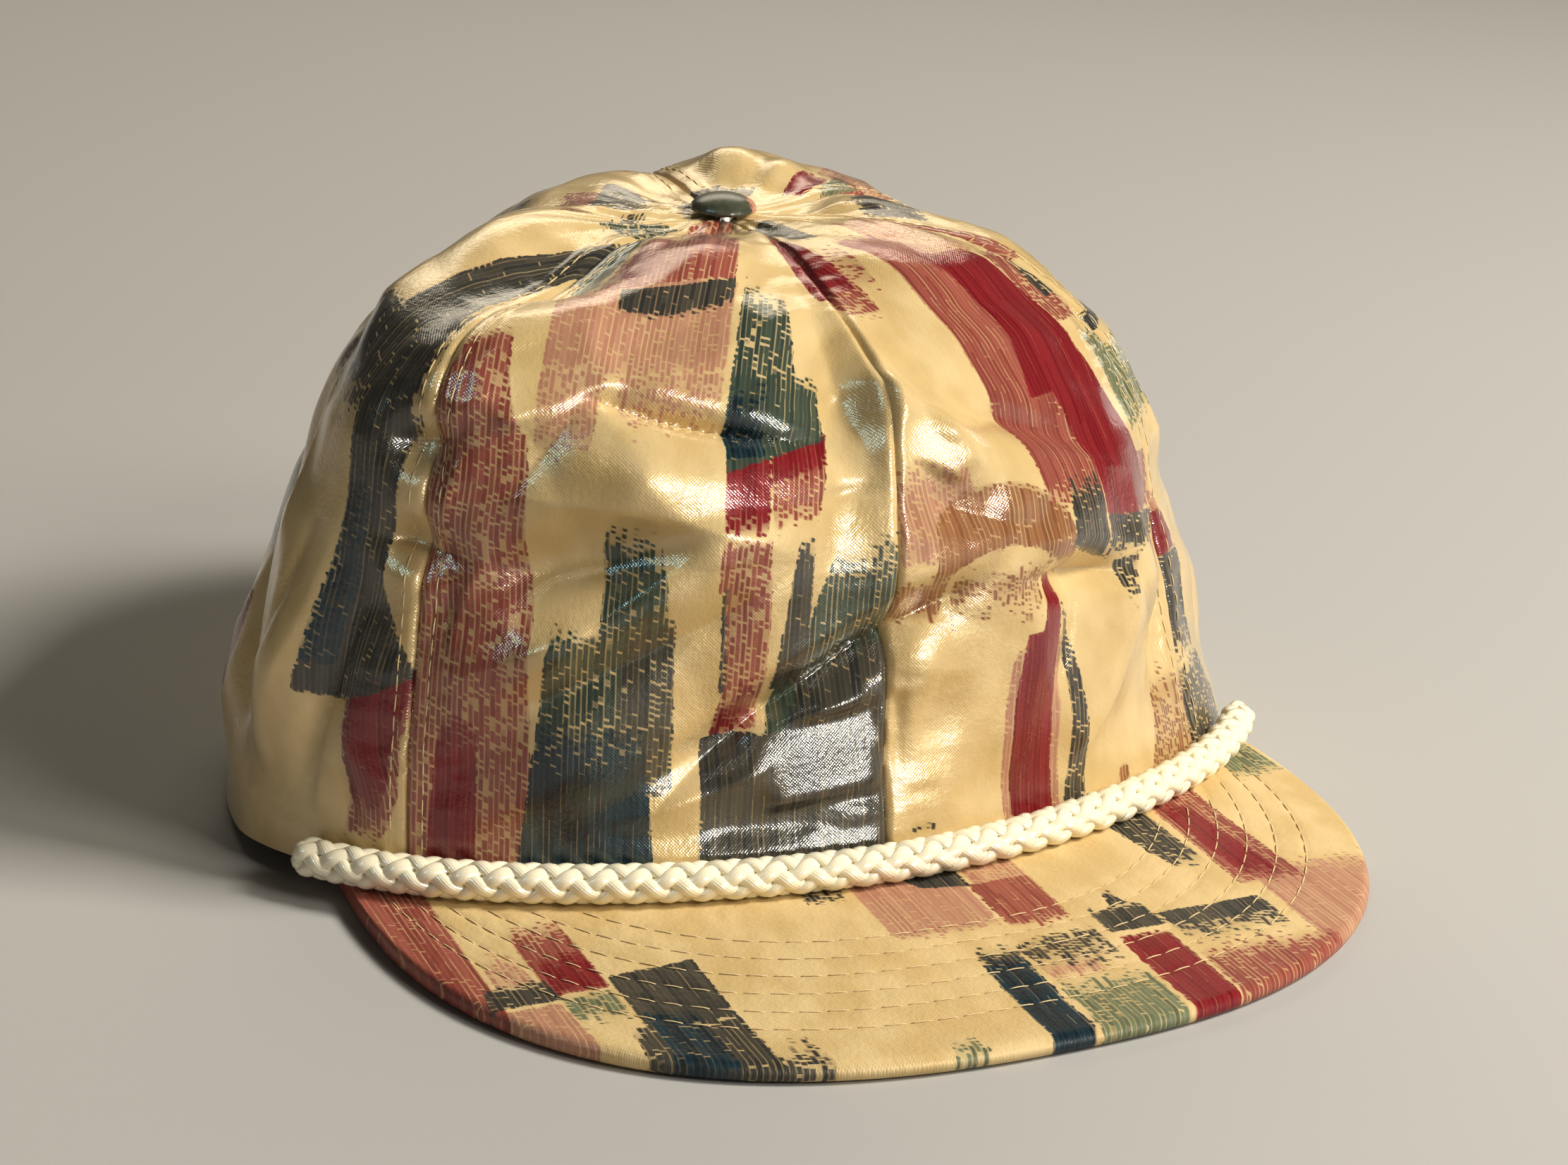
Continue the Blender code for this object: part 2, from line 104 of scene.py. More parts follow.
# Large folds: turn, level, half length and half width as shares of the crown's height,
# lean in degrees, push as a share of FOLD_DEPTH
FOLDS = (
    (-25.0, 0.58, 0.16, 0.030, 113.0, -0.55),
    (-27.0, 0.50, 0.20, 0.110, 105.0, 0.60),
    (-37.0, 0.40, 0.22, 0.080, 62.0, -0.85),
    (-32.0, 0.34, 0.24, 0.045, 50.0, 0.50),
    (-11.0, 0.23, 0.34, 0.035, 54.0, -0.60),
    (-6.0, 0.18, 0.30, 0.080, 54.0, 0.50),
    (-56.0, 0.54, 0.06, 0.050, 80.0, -0.80),
    (-56.0, 0.42, 0.07, 0.045, 95.0, -0.90),
    (-50.0, 0.67, 0.17, 0.120, 30.0, 0.90),
    (-54.0, 0.80, 0.12, 0.090, 90.0, -0.80),
    (0.0, 0.57, 0.22, 0.035, 0.0, 0.70),
    (7.0, 0.54, 0.14, 0.045, 145.0, 0.50),
    (-6.0, 0.60, 0.09, 0.050, 20.0, -0.60),
    (20.0, 0.28, 0.20, 0.045, 20.0, -0.75),
    (28.0, 0.32, 0.11, 0.035, 100.0, -0.70),
    (12.0, 0.40, 0.16, 0.110, 80.0, 0.60),
    (22.0, 0.53, 0.14, 0.035, 120.0, -0.50),
    (38.0, 0.25, 0.22, 0.100, 15.0, 0.70),
    (49.0, 0.19, 0.18, 0.040, 12.0, -0.85),
    (-67.0, 0.19, 0.24, 0.045, 15.0, -0.75),
    (-78.0, 0.27, 0.24, 0.090, 10.0, 0.80),
    (-96.0, 0.22, 0.26, 0.060, -8.0, -0.70),
    (82.0, 0.40, 0.25, 0.070, -12.0, -0.70),
    (104.0, 0.30, 0.28, 0.090, 8.0, 0.60),
    (140.0, 0.34, 0.30, 0.060, -14.0, -0.80),
    (-150.0, 0.42, 0.30, 0.060, 16.0, -0.80),
    (168.0, 0.20, 0.24, 0.050, 24.0, -0.60),
    (-126.0, 0.20, 0.22, 0.080, -10.0, 0.60),
)

# Panels: first seam, second seam, petal beside the button, columns and rows of the cloth mesh,
# seed of its crumples
PANELS = {
    "panel_front_right": (-SIDE_SEAM, 0.0, 0.30, 136, 248, 11),
    "panel_front_left": (0.0, SIDE_SEAM, 0.35, 136, 248, 12),
    "panel_side_right": (-BACK_SEAM, -SIDE_SEAM, 0.50, 100, 200, 13),
    "panel_side_left": (SIDE_SEAM, BACK_SEAM, 0.10, 100, 200, 14),
    "panel_back_right": (-180.0, -BACK_SEAM, 0.12, 92, 180, 15),
    "panel_back_left": (BACK_SEAM, 180.0, 0.58, 92, 180, 16),
}

# Sharp creases of the cloth: turn, level, half length and half width in millimetres, lean in
# degrees, sideways bow in millimetres, height in millimetres (- is a valley)
CREASES = (
    (-25.0, 0.575, 19.0, 1.4, 110.0, 1.5, -2.6),
    (-22.0, 0.625, 16.0, 5.0, 108.0, 1.5, 0.9),
    (-30.0, 0.47, 22.0, 4.5, 104.0, -3.0, 1.9),
    (-10.0, 0.475, 12.0, 3.0, 78.0, 2.0, -1.0),
    (-34.0, 0.34, 25.0, 4.2, 52.0, 3.0, 1.8),
    (-27.0, 0.30, 22.0, 3.2, 55.0, 2.0, -1.5),
    (-10.0, 0.235, 31.0, 1.5, 52.0, -2.5, -1.9),
    (-12.0, 0.285, 29.0, 4.5, 52.0, -2.5, 1.2),
    (-18.0, 0.13, 18.0, 3.0, 62.0, 2.0, 1.1),
    (-55.5, 0.55, 8.0, 2.2, 80.0, 0.5, -1.5),
    (-54.5, 0.41, 9.0, 2.2, 98.0, 0.5, -1.5),
    (-51.0, 0.48, 12.0, 3.2, 10.0, 1.0, 1.4),
    (-49.0, 0.33, 14.0, 3.0, 12.0, -1.5, 1.1),
    (-46.0, 0.63, 15.0, 4.0, 40.0, 2.0, 1.4),
    (-40.0, 0.55, 14.0, 3.0, 24.0, 2.0, -1.0),
    (2.0, 0.57, 21.0, 4.5, 176.0, 1.0, 1.8),
    (-5.0, 0.60, 17.0, 3.5, 172.0, 1.0, -1.1),
    (7.0, 0.55, 15.0, 3.5, 140.0, -1.5, 1.5),
    (12.0, 0.43, 13.0, 3.0, 118.0, 1.5, -1.1),
    (26.0, 0.25, 18.0, 2.4, 12.0, 1.5, -1.5),
    (27.0, 0.33, 13.0, 2.4, 102.0, -1.5, -1.7),
    (28.0, 0.375, 14.0, 4.0, 104.0, -1.5, 1.3),
    (22.0, 0.53, 15.0, 2.6, 122.0, 1.0, -1.0),
    (33.0, 0.46, 14.0, 3.6, 118.0, 1.5, 1.1),
    (42.0, 0.24, 16.0, 2.8, 150.0, 1.5, -1.4),
    (48.0, 0.17, 18.0, 3.0, 12.0, -1.0, 1.5),
    (34.0, 0.17, 14.0, 3.0, 28.0, 1.0, 1.0),
    (-77.0, 0.31, 20.0, 3.2, 24.0, 2.0, -1.6),
    (-72.0, 0.29, 20.0, 4.0, 20.0, 2.0, 1.3),
    (-66.0, 0.19, 20.0, 3.0, 12.0, -2.0, 1.5),
    (-62.0, 0.10, 12.0, 2.4, 160.0, 0.5, -1.1),
    (-84.0, 0.50, 22.0, 4.0, -20.0, 2.0, 1.2),
    (-96.0, 0.36, 26.0, 4.0, -14.0, 2.0, -1.4),
    (-104.0, 0.20, 20.0, 3.6, 16.0, 2.0, 1.3),
    (64.0, 0.45, 20.0, 3.4, -20.0, -2.0, 1.4),
    (74.0, 0.26, 20.0, 3.2, 18.0, -2.0, -1.4),
    (96.0, 0.28, 24.0, 4.0, 14.0, 2.0, 1.4),
    (88.0, 0.55, 18.0, 3.4, -28.0, 2.0, -1.1),
    (108.0, 0.44, 22.0, 3.6, -10.0, 2.0, -1.2),
    (142.0, 0.36, 26.0, 4.2, -18.0, 2.0, 1.6),
    (130.0, 0.22, 20.0, 3.2, 16.0, 2.0, -1.4),
    (160.0, 0.54, 20.0, 3.6, 28.0, 2.0, -1.1),
    (166.0, 0.24, 22.0, 3.4, 30.0, 1.5, 1.4),
    (-152.0, 0.40, 26.0, 4.2, 18.0, -2.0, 1.6),
    (-138.0, 0.24, 22.0, 3.4, -14.0, 2.0, -1.4),
    (-166.0, 0.30, 20.0, 3.4, -22.0, 2.0, 1.2),
    (-132.0, 0.55, 20.0, 3.6, -26.0, 2.0, -1.1),
)

# Rounded puffs and dents of the cloth: turn, level, half length and half width in millimetres,
# lean in degrees, height in millimetres
PUFFS = (
    (-7.0, 0.215, 27.0, 19.0, 66.0, -5.2),
    (12.0, 0.12, 22.0, 12.0, 80.0, 1.2),
    (-38.0, 0.17, 16.0, 10.0, 30.0, 1.4),
    (-26.0, 0.52, 20.0, 9.0, 104.0, 1.3),
    (-34.0, 0.42, 16.0, 8.0, 70.0, -0.6),
    (14.0, 0.50, 18.0, 10.0, 120.0, 1.3),
    (28.0, 0.42, 16.0, 9.0, 110.0, 1.4),
    (8.0, 0.36, 16.0, 9.0, 60.0, -1.4),
    (20.0, 0.28, 21.0, 5.0, 20.0, 3.8),
    (19.0, 0.22, 24.0, 6.0, 8.0, 1.2),
)

# Stretches of cloth pulled flat: turn, level, half length and half width in millimetres, lean in
# degrees, bearing and height in degrees that they face, shift outwards in millimetres
FLATS = (
    (-6.8, 0.152, 12.0, 8.0, 80.0, -6.3, 16.5, -1.2),
    (-4.0, 0.046, 8.5, 2.8, 88.0, -6.3, 16.0, 0.2),
    (5.6, 0.515, 7.0, 2.6, 128.0, -5.0, 14.0, 0.3),
    (-42.5, 0.635, 9.0, 7.0, 60.0, -16.0, 31.0, 0.0),
)

# Printed inks: deep and light tone of each, in the order in which they lie on each other
INKS = {
    "pink": ((0.40, 0.185, 0.115), (0.52, 0.28, 0.175)),
    "tan": ((0.22, 0.085, 0.034), (0.38, 0.180, 0.080)),
    "rose": ((0.22, 0.046, 0.034), (0.38, 0.115, 0.080)),
    "crimson": ((0.150, 0.007, 0.011), (0.26, 0.022, 0.026)),
    "sage": ((0.10, 0.115, 0.062), (0.21, 0.235, 0.13)),
    "moss": ((0.026, 0.042, 0.034), (0.085, 0.105, 0.068)),
    "charcoal": ((0.026, 0.027, 0.026), (0.090, 0.078, 0.055)),
    "teal": ((0.006, 0.013, 0.020), (0.016, 0.046, 0.062)),
}

# Strokes of the print, in millimetres on the cloth; one charcoal stroke on the front right panel is
# painted shade. The columns are ink, left and right at the foot, left and right at the head, foot, head,
# cover (1.15 is solid, 0.55 half dry), ragged length at the foot and at the head. Where they aren't 0
# there follow sideways bow, arch of foot and head, slope of the foot and slope of the head.
STROKES = {
    "panel_front_right": (
        ("rose", -46, -21, -46, -24.5, 2, 86, 0.72, 0, 0, 1),
        ("rose", -43, -24.5, -34, -28.5, 84, 107, 0.76, 0, 5, -1.5),
        ("crimson", -40, -30.5, -38, -31, 2, 36, 1.1, 0, 12),
        ("pink", -24, 9, -23.5, 9, 93, 119, 0.86, 7, 0),
        ("pink", -24, -14, -24, -12, 76, 98, 0.66, 9, 0),
        ("pink", -10, 9, -10, 9, 79, 97, 0.6, 14, 0),
        ("rose", -18, 8.5, -10, 7, 118, 143, 0.9, 0, 6, 0, 0, 0.06),
        ("crimson", -18, -8, -14, -8, 120, 137, 0.58, 3, 5),
        ("rose", -8, 5, -4, 3, 138, 167, 0.68, 0, 0),
        ("charcoal", -13, 8.5, -13, 8.5, 110.5, 119, 1.0, 3, 0, 0, -1.5, 0.1, 0.1),
        ("sage", -25, -19, -22, -16.5, 115, 132, 0.9, 4, 0),
        ("moss", -27, -17, -12, -7, 126, 153, 1.0, 3, 4),
        ("crimson", 26, 36, 9, 15, 112, 149, 1.15, 0, 3, -1),
        ("moss", 9.5, 24, 10, 17.5, 88, 125, 0.8, 0, 16, 0, 0, 0, -0.6),
        ("moss", 9.5, 29, 9.5, 27.5, 79.5, 99, 1.02, 0, 6, 0, 0, 0.25, -0.3),
        ("teal", 9.5, 17.5, 9.5, 17, 79.5, 99, 0.78, 0, 12),
        ("crimson", 9.5, 18.5, 9.5, 18, 63, 80, 1.15, 9, 0),
        ("rose", 9.5, 20, 9.5, 19, 54, 68, 0.7, 3, 4),
        ("rose", 18, 28, 18, 29.5, 64, 82, 0.84, 8, 0, 0, 0, 0.2, 0.32),
        ("crimson", 18, 29.5, 18, 29.5, 74, 82, 1.05, 5, 0, 0, 0, 0.2, 0.32),
        ("rose", 11.5, 20, 11, 20, 28, 60, 0.7, 0, 4),
        ("charcoal", 10.6, 12.2, 10.8, 12, 36, 57, 1.0, 0, 0),
        ("crimson", 10, 19, 11, 18, 27, 42, 0.72, 0, 10, 0, 0, 0.2, 0.2),
        ("charcoal", 20.5, 27.5, 24, 27.5, 35, 68, 0.98, 0, 7),
        ("moss", 20, 46, 33, 46, 27, 69, 0.92, 0, 14),
        # Painted shade: a dark charcoal triangle below the moss patch stands in for the shadow under the
        # fold there
        ("charcoal", 24, 46, 30, 46, 27, 44, 1.0, 0, 6, 0, 0, 0, 0.3),
        ("charcoal", 8.5, 46, 8.5, 46, -1, 28, 1.12, 0, 0, 0, 0, 0, 0.02),
        ("moss", -22, 4, -19, 3, 18, 53, 0.8, 0, 7),
        ("moss", -11, 3, -10, 0, 44, 71, 0.84, 0, 10, 0, 0, 0, -0.5),
        ("charcoal", -8, 3.5, -6, 3.5, 17, 56, 0.72, 0, 8),
        ("teal", -24, 1, -20, -2, 2, 36, 1.11, 0, 14),
    ),
    "panel_front_left": (
        ("rose", -22, -16, -15, -10, 108, 131, 0.52, 8, 4),
        ("rose", -28, -19, -25, -17, 104, 121, 0.72, 6, 0),
        ("crimson", -27, -19.5, -18, -12.5, 112, 140, 1.1, 5, 0),
        ("charcoal", -12, -8, -7, -1, 131, 153, 1.0, 5, 0, -1.5),
        ("pink", -4, 15, 0, 8, 118, 148, 0.66, 0, 12),
        ("rose", -9, 9, -10, 1, 61, 134, 1.06, 9, 8, -1),
        ("crimson", -1, 18, -3, 11, 85, 122, 1.15, 0, 6, 3.5),
        ("crimson", 9, 31, 3, 19, 55, 92, 1.15, 5, 0, 1.5, 0, 0, -0.2),
        ("rose", 0, 9, 0, 9, 60, 92, 0.86, 0, 4),
        ("rose", 19, 28, 13, 22, 97, 122, 0.78, 0, 6),
        ("rose", 22, 40, 20, 36, 56, 68, 0.8, 0, 0, 0, 0, -0.2, -0.2),
        ("charcoal", 22, 29, 20, 25, 103, 117, 0.86, 0, 6),
        ("sage", 28, 38, 20, 30, 70, 97, 0.82, 4, 6, 3),
        ("charcoal", -4, 9, -2, 8, 54, 73, 1.0, 0, 10, 0, 0, -0.5),
        ("charcoal", 9, 41, 9, 41, 46, 57, 0.95, 8, 0, 0, 0, -0.12, -0.22),
        ("charcoal", 13, 19, 12, 19, 35, 50, 0.8, 14, 0),
        ("tan", -36, -1, -34, -4, 51, 64, 0.96, 0, 3, 0, 9, -0.12, -0.12),
        ("tan", -46, -34, -46, -30, 44, 60, 0.8, 5, 6),
        ("tan", -34, -12, -30, -8, 36, 60, 0.62, 16, 6, 0, 0, -0.1),
        ("pink", -43, -20, -40, -27, 56, 83, 0.78, 6, 12),
        ("pink", -18, -3.5, -17, -3, 2, 40, 0.9, 0, 4, -1.5),
        ("crimson", -16, -5.5, -15, -5, 2, 41, 1.15, 0, 0, -1.5),
        ("crimson", -13, -6, -8, -6, 38, 57, 1.05, 0, 4, 1),
        ("charcoal", -4, 3, -6.5, -4.8, 2, 48, 0.86, 0, 8, 2.5),
        ("tan", 24, 45, 32, 45, 3, 27, 0.58, 0, 10, 0, 0, 0, 0.1),
        ("tan", 13, 17, 13.5, 16.5, 3, 9, 0.95, 0, 3),
        ("charcoal", -39, -33, -39, -33, 5, 9, 0.56, 2, 2),
    ),
    "panel_side_right": (
        ("charcoal", 11, 26, 12, 17, 106, 149, 1.0, 0, 6),
        ("rose", 11, 15, 11.5, 14, 112, 138, 0.6, 6, 6),
        ("charcoal", -12, 31, 6, 29, 89, 109, 0.94, 3, 3, 0, 0, 0, 0.1),
        ("charcoal", -14, 20, -12, 22, 79, 95, 0.62, 10, 0),
        ("charcoal", 26, 34, 28, 32, 78, 106, 0.56, 8, 6),
        ("charcoal", 20, 30, 19.5, 31, 52, 98, 1.0, 0, 0),
        ("charcoal", 15.5, 42, 21, 30, 36, 60, 0.98, 0, 0, 0, -3, 0.22),
        ("teal", 16.5, 24, 20.5, 25.5, 38, 94, 0.64, 0, 30, 1),
        ("rose", 24, 32, 28, 43, 4, 38, 0.8, 6, 0, 1, 0, 0, 0.2),
        ("crimson", 25, 31, 29, 42, 9, 39, 1.02, 10, 0, 1, 0, 0, 0.2),
        ("charcoal", -10, 2, -6, 2, 150, 165, 0.8, 8, 8),
        ("moss", 3, 12, -1, 6, 146, 168, 0.74, 6, 4),
        ("tan", -14, -2, -9, 0, 136, 151, 0.7, 6, 6),
    ),
    "panel_side_left": (
        ("rose", -25, -19, -13, -9, 118, 153, 0.92, 8, 6),
        ("charcoal", -10, 16, -8, 12, 129, 147, 0.9, 5, 5, 0, 0, -0.4, -0.3),
        ("charcoal", -28, -10, -27, -10, 97, 104, 1.1, 0, 3, 0, 0, 0, 0.12),
        ("sage", -33, -18, -27, -16, 70, 97, 0.8, 10, 6),
        ("pink", -35, -28, -33, -28, 48, 62, 0.8, 0, 5),
        ("crimson", -38, -25, -36, -27, 44.5, 57, 1.15, 0, 3, 0, 0, 0, -0.3),
        ("charcoal", -40, -22, -38, -24, 16, 45, 1.0, 14, 0),
        ("charcoal", -42, -14, -40, -22, -1, 25, 0.74, 0, 8),
    ),
    "panel_back_right": (
        ("charcoal", -1, 20, -1, 10, 133, 149, 0.92, 0, 8),
        ("rose", 6, 15, 4, 18, 121, 134, 0.66, 7, 0),
        ("charcoal", 3, 12, 6, 14, 105, 120, 0.68, 5, 4),
        ("charcoal", -10, 2, -6, 2, 149, 161, 0.95, 4, 0),
    ),
    "panel_back_left": (
        ("charcoal", -3, 12, -1, 6, 148, 167, 1.0, 5, 0),
        ("crimson", -17, -10, -12, -7, 133, 150, 1.0, 5, 3, 0, 0, 0, 0.2),
        ("sage", -25, -17, -17, -14, 129, 146, 0.8, 4, 4),
    ),
    "brim": (
        ("rose", -98, -80, -98, -80, -79, -8, 0.98, 0, 0),
        ("rose", -72, -61, -72, -62, -74, -43, 0.98, 0, 14),
        ("crimson", -71, -61, -70, -62, -75, -56, 0.98, 4, 10),
        ("pink", -80, -72, -79, -74, -69, -48, 0.7, 0, 16),
        ("charcoal", -83, -70, -82, -71, -75.5, -65, 1.0, 0, 6),
        ("pink", -86, -69, -84, -71, -100, -76, 0.9, 0, 0),
        ("charcoal", -61, -45, -61, -45, -90, -70, 1.1, 0, 0),
        ("charcoal", -65, -44, -64, -45, -120, -86, 0.95, 0, 6),
        ("sage", -71, -61, -71, -61, -90, -71, 0.7, 10, 6),
        ("charcoal", -45, -35, -45, -39, -118, -90, 0.7, 0, 20),
        ("teal", -61, -50, -60, -52, -113, -78, 0.72, 10, 12),
        ("sage", -18, -11, -17, -12, -116, -105, 0.66, 2, 8),
        ("charcoal", -20, -11, -19, -11, -64, -54, 0.8, 8, 0),
        ("pink", -10, 11, -10, 11, -81, -56, 0.95, 8, 0),
        ("charcoal", 2, 12, 0, 12, -62, -55, 1.15, 0, 0, 0, 0, -0.25),
        ("pink", 12, 24, 12, 24, -63, -52, 0.7, 0, 4),
        ("rose", 11, 24, 11, 24, -82, -62, 1.02, 7, 0),
        ("charcoal", 0, 9, 0, 9, -92, -80, 0.86, 0, 8),
        ("teal", 0, 8.5, 0, 8.5, -120, -86, 1.15, 0, 6),
        ("pink", 9, 22, 9, 20, -101, -88, 0.66, 6, 6),
        ("sage", 9, 27, 9, 27, -120, -94, 0.86, 0, 10),
        ("charcoal", 9, 26, 9, 26, -101, -80, 0.68, 12, 5),
        ("crimson", 27.5, 38, 27.5, 38, -120, -86, 1.15, 0, 4),
        ("charcoal", 27, 39, 27, 38.5, -86, -75, 1.1, 0, 5),
        ("charcoal", 32, 36, 33, 35, -77, -69, 1.0, 0, 6),
        ("rose", 38, 68, 38, 66, -120, -90, 0.86, 0, 12),
        ("charcoal", 39, 61, 39, 61, -89, -81, 1.05, 3, 0, 0, 0, 0, 0.03),
        ("charcoal", 40, 61, 39, 61, -99, -87, 0.74, 12, 0),
        ("pink", 62, 99, 64, 93, -112, -66, 0.92, 0, 12, 0, 0, 0, -0.05),
        ("rose", 60, 74, 60, 73, -80, -34, 0.84, 6, 2),
        ("crimson", 63, 71, 61, 68, -77, -40, 1.1, 8, 10),
        ("charcoal", 53, 60, 46, 58, -73, -42, 0.86, 12, 0),
        ("sage", 86, 97, 84, 96, -40, -20, 0.8, 8, 0),
    ),
}

# Strokes that recur on the parts of the cloth that face away, and where each group is put
REPEAT = (
    ("rose", -24, -6, -22, -9, 8, 84, 0.74, 0, 24),
    ("crimson", -22, -9, -21, -11, -6, 30, 1.08, 0, 14),
    ("pink", -6, 22, -4, 20, 70, 104, 0.72, 22, 0),
    ("rose", -1, 17, 0, 14, 100, 124, 0.86, 0, 10, 0, 0, 0.06),
    ("moss", 0, 22, 2, 20, 16, 60, 0.84, 0, 22),
    ("teal", 0, 20, 1, 20, -8, 24, 1.06, 0, 14),
    ("charcoal", 26, 36, 27, 35, 26, 70, 0.92, 6, 14),
    ("crimson", 24, 36, 24, 36, 2, 24, 1.1, 0, 8, 0, 0, 0.2, 0.2),
    ("charcoal", -22, -10, -19, -8, 96, 120, 0.95, 4, 8),
)
REPEAT_PLACES = {
    "panel_side_right": ((-58, 18),),
    "panel_side_left": ((22, 22),),
    "panel_back_right": ((-26, 16), (34, 36)),
    "panel_back_left": ((-32, 30), (30, 14)),
}


def signed_power(value, power):
    return np.sign(value) * np.abs(value) ** power


def smooth_step(share):
    share = np.clip(share, 0.0, 1.0)
    return share * share * (3 - 2 * share)


def unit(rows):
    """Each row scaled to length 1."""
    return rows / np.linalg.norm(rows, axis=-1, keepdims=True)


def reach_along(line):
    """Distance of each point from the start, along the line."""
    return np.concatenate([[0], np.linalg.norm(np.diff(line, axis=0), axis=1).cumsum()])


def sampled(places, reach, rows):
    return np.stack([np.interp(places, reach, rows[:, axis]) for axis in range(3)], axis=1)


def pointing(bearing, height):
    """Direction with a bearing from the front towards +X and a height, both in degrees."""
    bearing = math.radians(bearing)
    height = math.radians(height)
    level = math.cos(height)
    return math.sin(bearing) * level, -math.cos(bearing) * level, math.sin(height)


def level_window(level, levels):
    start, full, fade, end = levels
    rise = smooth_step((level - start) / (full - start))
    return rise * (1 - smooth_step((level - fade) / (end - fade)))


def curve_value(stations, values, at):
    """Smooth curve without overshoot: values has one row for each place in at."""
    stations = np.asarray(stations)
    steps = np.diff(stations)
    slopes = np.diff(values, axis=1) / steps
    before = slopes[:, :-1]
    after = slopes[:, 1:]
    same_way = before * after > 0
    mean = np.where(same_way, 2 * before * after / np.where(same_way, before + after, 1.0), 0.0)
    tangents = np.concatenate([slopes[:, :1], mean, slopes[:, -1:]], axis=1)
    cell = np.clip(np.searchsorted(stations, at, side="right") - 1, 0, len(steps) - 1)
    row = np.arange(len(at))
    width = steps[cell]
    part = (at - stations[cell]) / width
    start = values[row, cell]
    end = values[row, cell + 1]
    pull_start = tangents[row, cell] * width
    pull_end = tangents[row, cell + 1] * width
    return (start * (1 + 2 * part) * (1 - part) ** 2 + end * part ** 2 * (3 - 2 * part)
            + pull_start * part * (1 - part) ** 2 - pull_end * part ** 2 * (1 - part))


HEM_CENTRE_Y = (BRIM_REACH - HEM_BACK_REACH) / 2
BRIM_FRONT_Y = HEM_CENTRE_Y - BRIM_REACH
BUTTON_X = BUTTON_SIDE_SHIFT
BUTTON_Y = HEM_CENTRE_Y + BUTTON_BACK_SHIFT
PROFILE_LENGTH = CROWN_TOP + (HEM_FRONT_REACH + HEM_BACK_REACH) / 3


def hem_outline(turn):
    angle = np.radians(turn)
    reach = np.where(np.cos(angle) > 0, HEM_FRONT_REACH, HEM_BACK_REACH)
    x = HEM_HALF_WIDTH * signed_power(np.sin(angle), 2 / HEM_POWER)
    y = HEM_CENTRE_Y - reach * signed_power(np.cos(angle), 2 / HEM_POWER)
    return x, y


def brim_outline(swing):
    angle = np.radians(swing)
    x = BRIM_SIDE_SHIFT + BRIM_HALF_WIDTH * signed_power(np.sin(angle), 2 / BRIM_POWER)
    forward = BRIM_ROUND_LENGTH * signed_power(np.cos(angle), 2 / BRIM_POWER)
    return x, BRIM_FRONT_Y + BRIM_ROUND_LENGTH - forward


def brim_underside(x, y):
    arch = BRIM_ARCH_DROP * (x / BRIM_HALF_WIDTH) ** 2
    return np.maximum(BRIM_SLOPE * (y - BRIM_FRONT_Y) - arch - BRIM_FLAT, 0.0)


def brim_top(x, y):
    return brim_underside(x, y) + BRIM_THICKNESS


def hem_height(turn):
    x, y = hem_outline(np.clip(turn, -ROPE_END_TURN, ROPE_END_TURN))
    down = smooth_step((np.abs(turn) - ROPE_END_TURN) / (HEM_DOWN_TURN - ROPE_END_TURN))
    return (brim_top(x, y) + FIT_GAP) * (1 - down)


SECTION_TABLE = np.array(SECTIONS)
SECTION_COLUMNS = range(2, SECTION_TABLE.shape[1])


def section_value(column, level):
    values = np.tile(SECTION_TABLE[:, column], (len(level), 1))
    return curve_value(SECTION_TABLE[:, 0], values, level)


def section_share(turn, level):
    shares = [section_value(column, level) for column in SECTION_COLUMNS]
    around = np.stack(shares[-2:] + shares + shares[:2], axis=1)
    turns = np.array(SECTION_TURNS)
    wrapped = np.concatenate([turns[-2:] - 360, turns, turns[:2] + 360])
    return curve_value(wrapped, around, turn)


def base_point(turn, level):
    hem_x, hem_y = hem_outline(turn)
    reach_x = hem_x - BUTTON_X
    reach_y = hem_y - BUTTON_Y
    reach = np.hypot(reach_x, reach_y)
    ring = CENTRE_HOLE_RADIUS + (reach - CENTRE_HOLE_RADIUS) * section_share(turn, level)
    low = hem_height(turn)
    x = BUTTON_X + reach_x / reach * ring
    y = BUTTON_Y + reach_y / reach * ring
    return np.stack([x, y, low + (CROWN_TOP - low) * section_value(1, level)], axis=1)


def base_normal(turn, level):
    along = base_point(turn + TURN_STEP, level) - base_point(turn - TURN_STEP, level)
    upper = np.minimum(level + LEVEL_STEP, 1.0)
    lower = np.maximum(level - LEVEL_STEP, 0.0)
    return unit(np.cross(along, base_point(turn, upper) - base_point(turn, lower)))


def fold_frame(turn, level, ring_radius, fold_turn, fold_level, lean):
    """Distances along and across a fold, in metres on the cloth."""
    around = np.radians((turn - fold_turn + 180) % 360 - 180) * ring_radius
    up = (level - fold_level) * PROFILE_LENGTH
    cosine = math.cos(math.radians(lean))
    sine = math.sin(math.radians(lean))
    return up * cosine + around * sine, around * cosine - up * sine


def crown_shape(turn, level, panel):
    """Outer skin with its large folds, as the solid has it, with its normal."""
    first_seam, second_seam, petal = PANELS[panel][:3]
    point = base_point(turn, level)
    normal = base_normal(turn, level)
    ring_radius = np.hypot(point[:, 0] - BUTTON_X, point[:, 1] - BUTTON_Y)
    across = np.sin(np.pi * np.clip((turn - first_seam) / (second_seam - first_seam), 0, 1))
    out = across * (PANEL_SWELL * level_window(level, SWELL_LEVELS)
                    + PETAL_HEIGHT * petal * level_window(level, PETAL_LEVELS))
    push = np.zeros(len(level))
    for fold_turn, fold_level, half_length, half_width, lean, share in FOLDS:
        along, aside = fold_frame(turn, level, ring_radius, fold_turn, fold_level, lean)
        along = along / (half_length * CROWN_TOP)
        aside = aside / (half_width * CROWN_TOP)
        push += FOLD_DEPTH * share * np.exp(-along ** 2 - aside ** 2)
    out = out + push * level_window(level, FOLD_LEVELS)
    return point + normal * out[:, None], normal, ring_radius


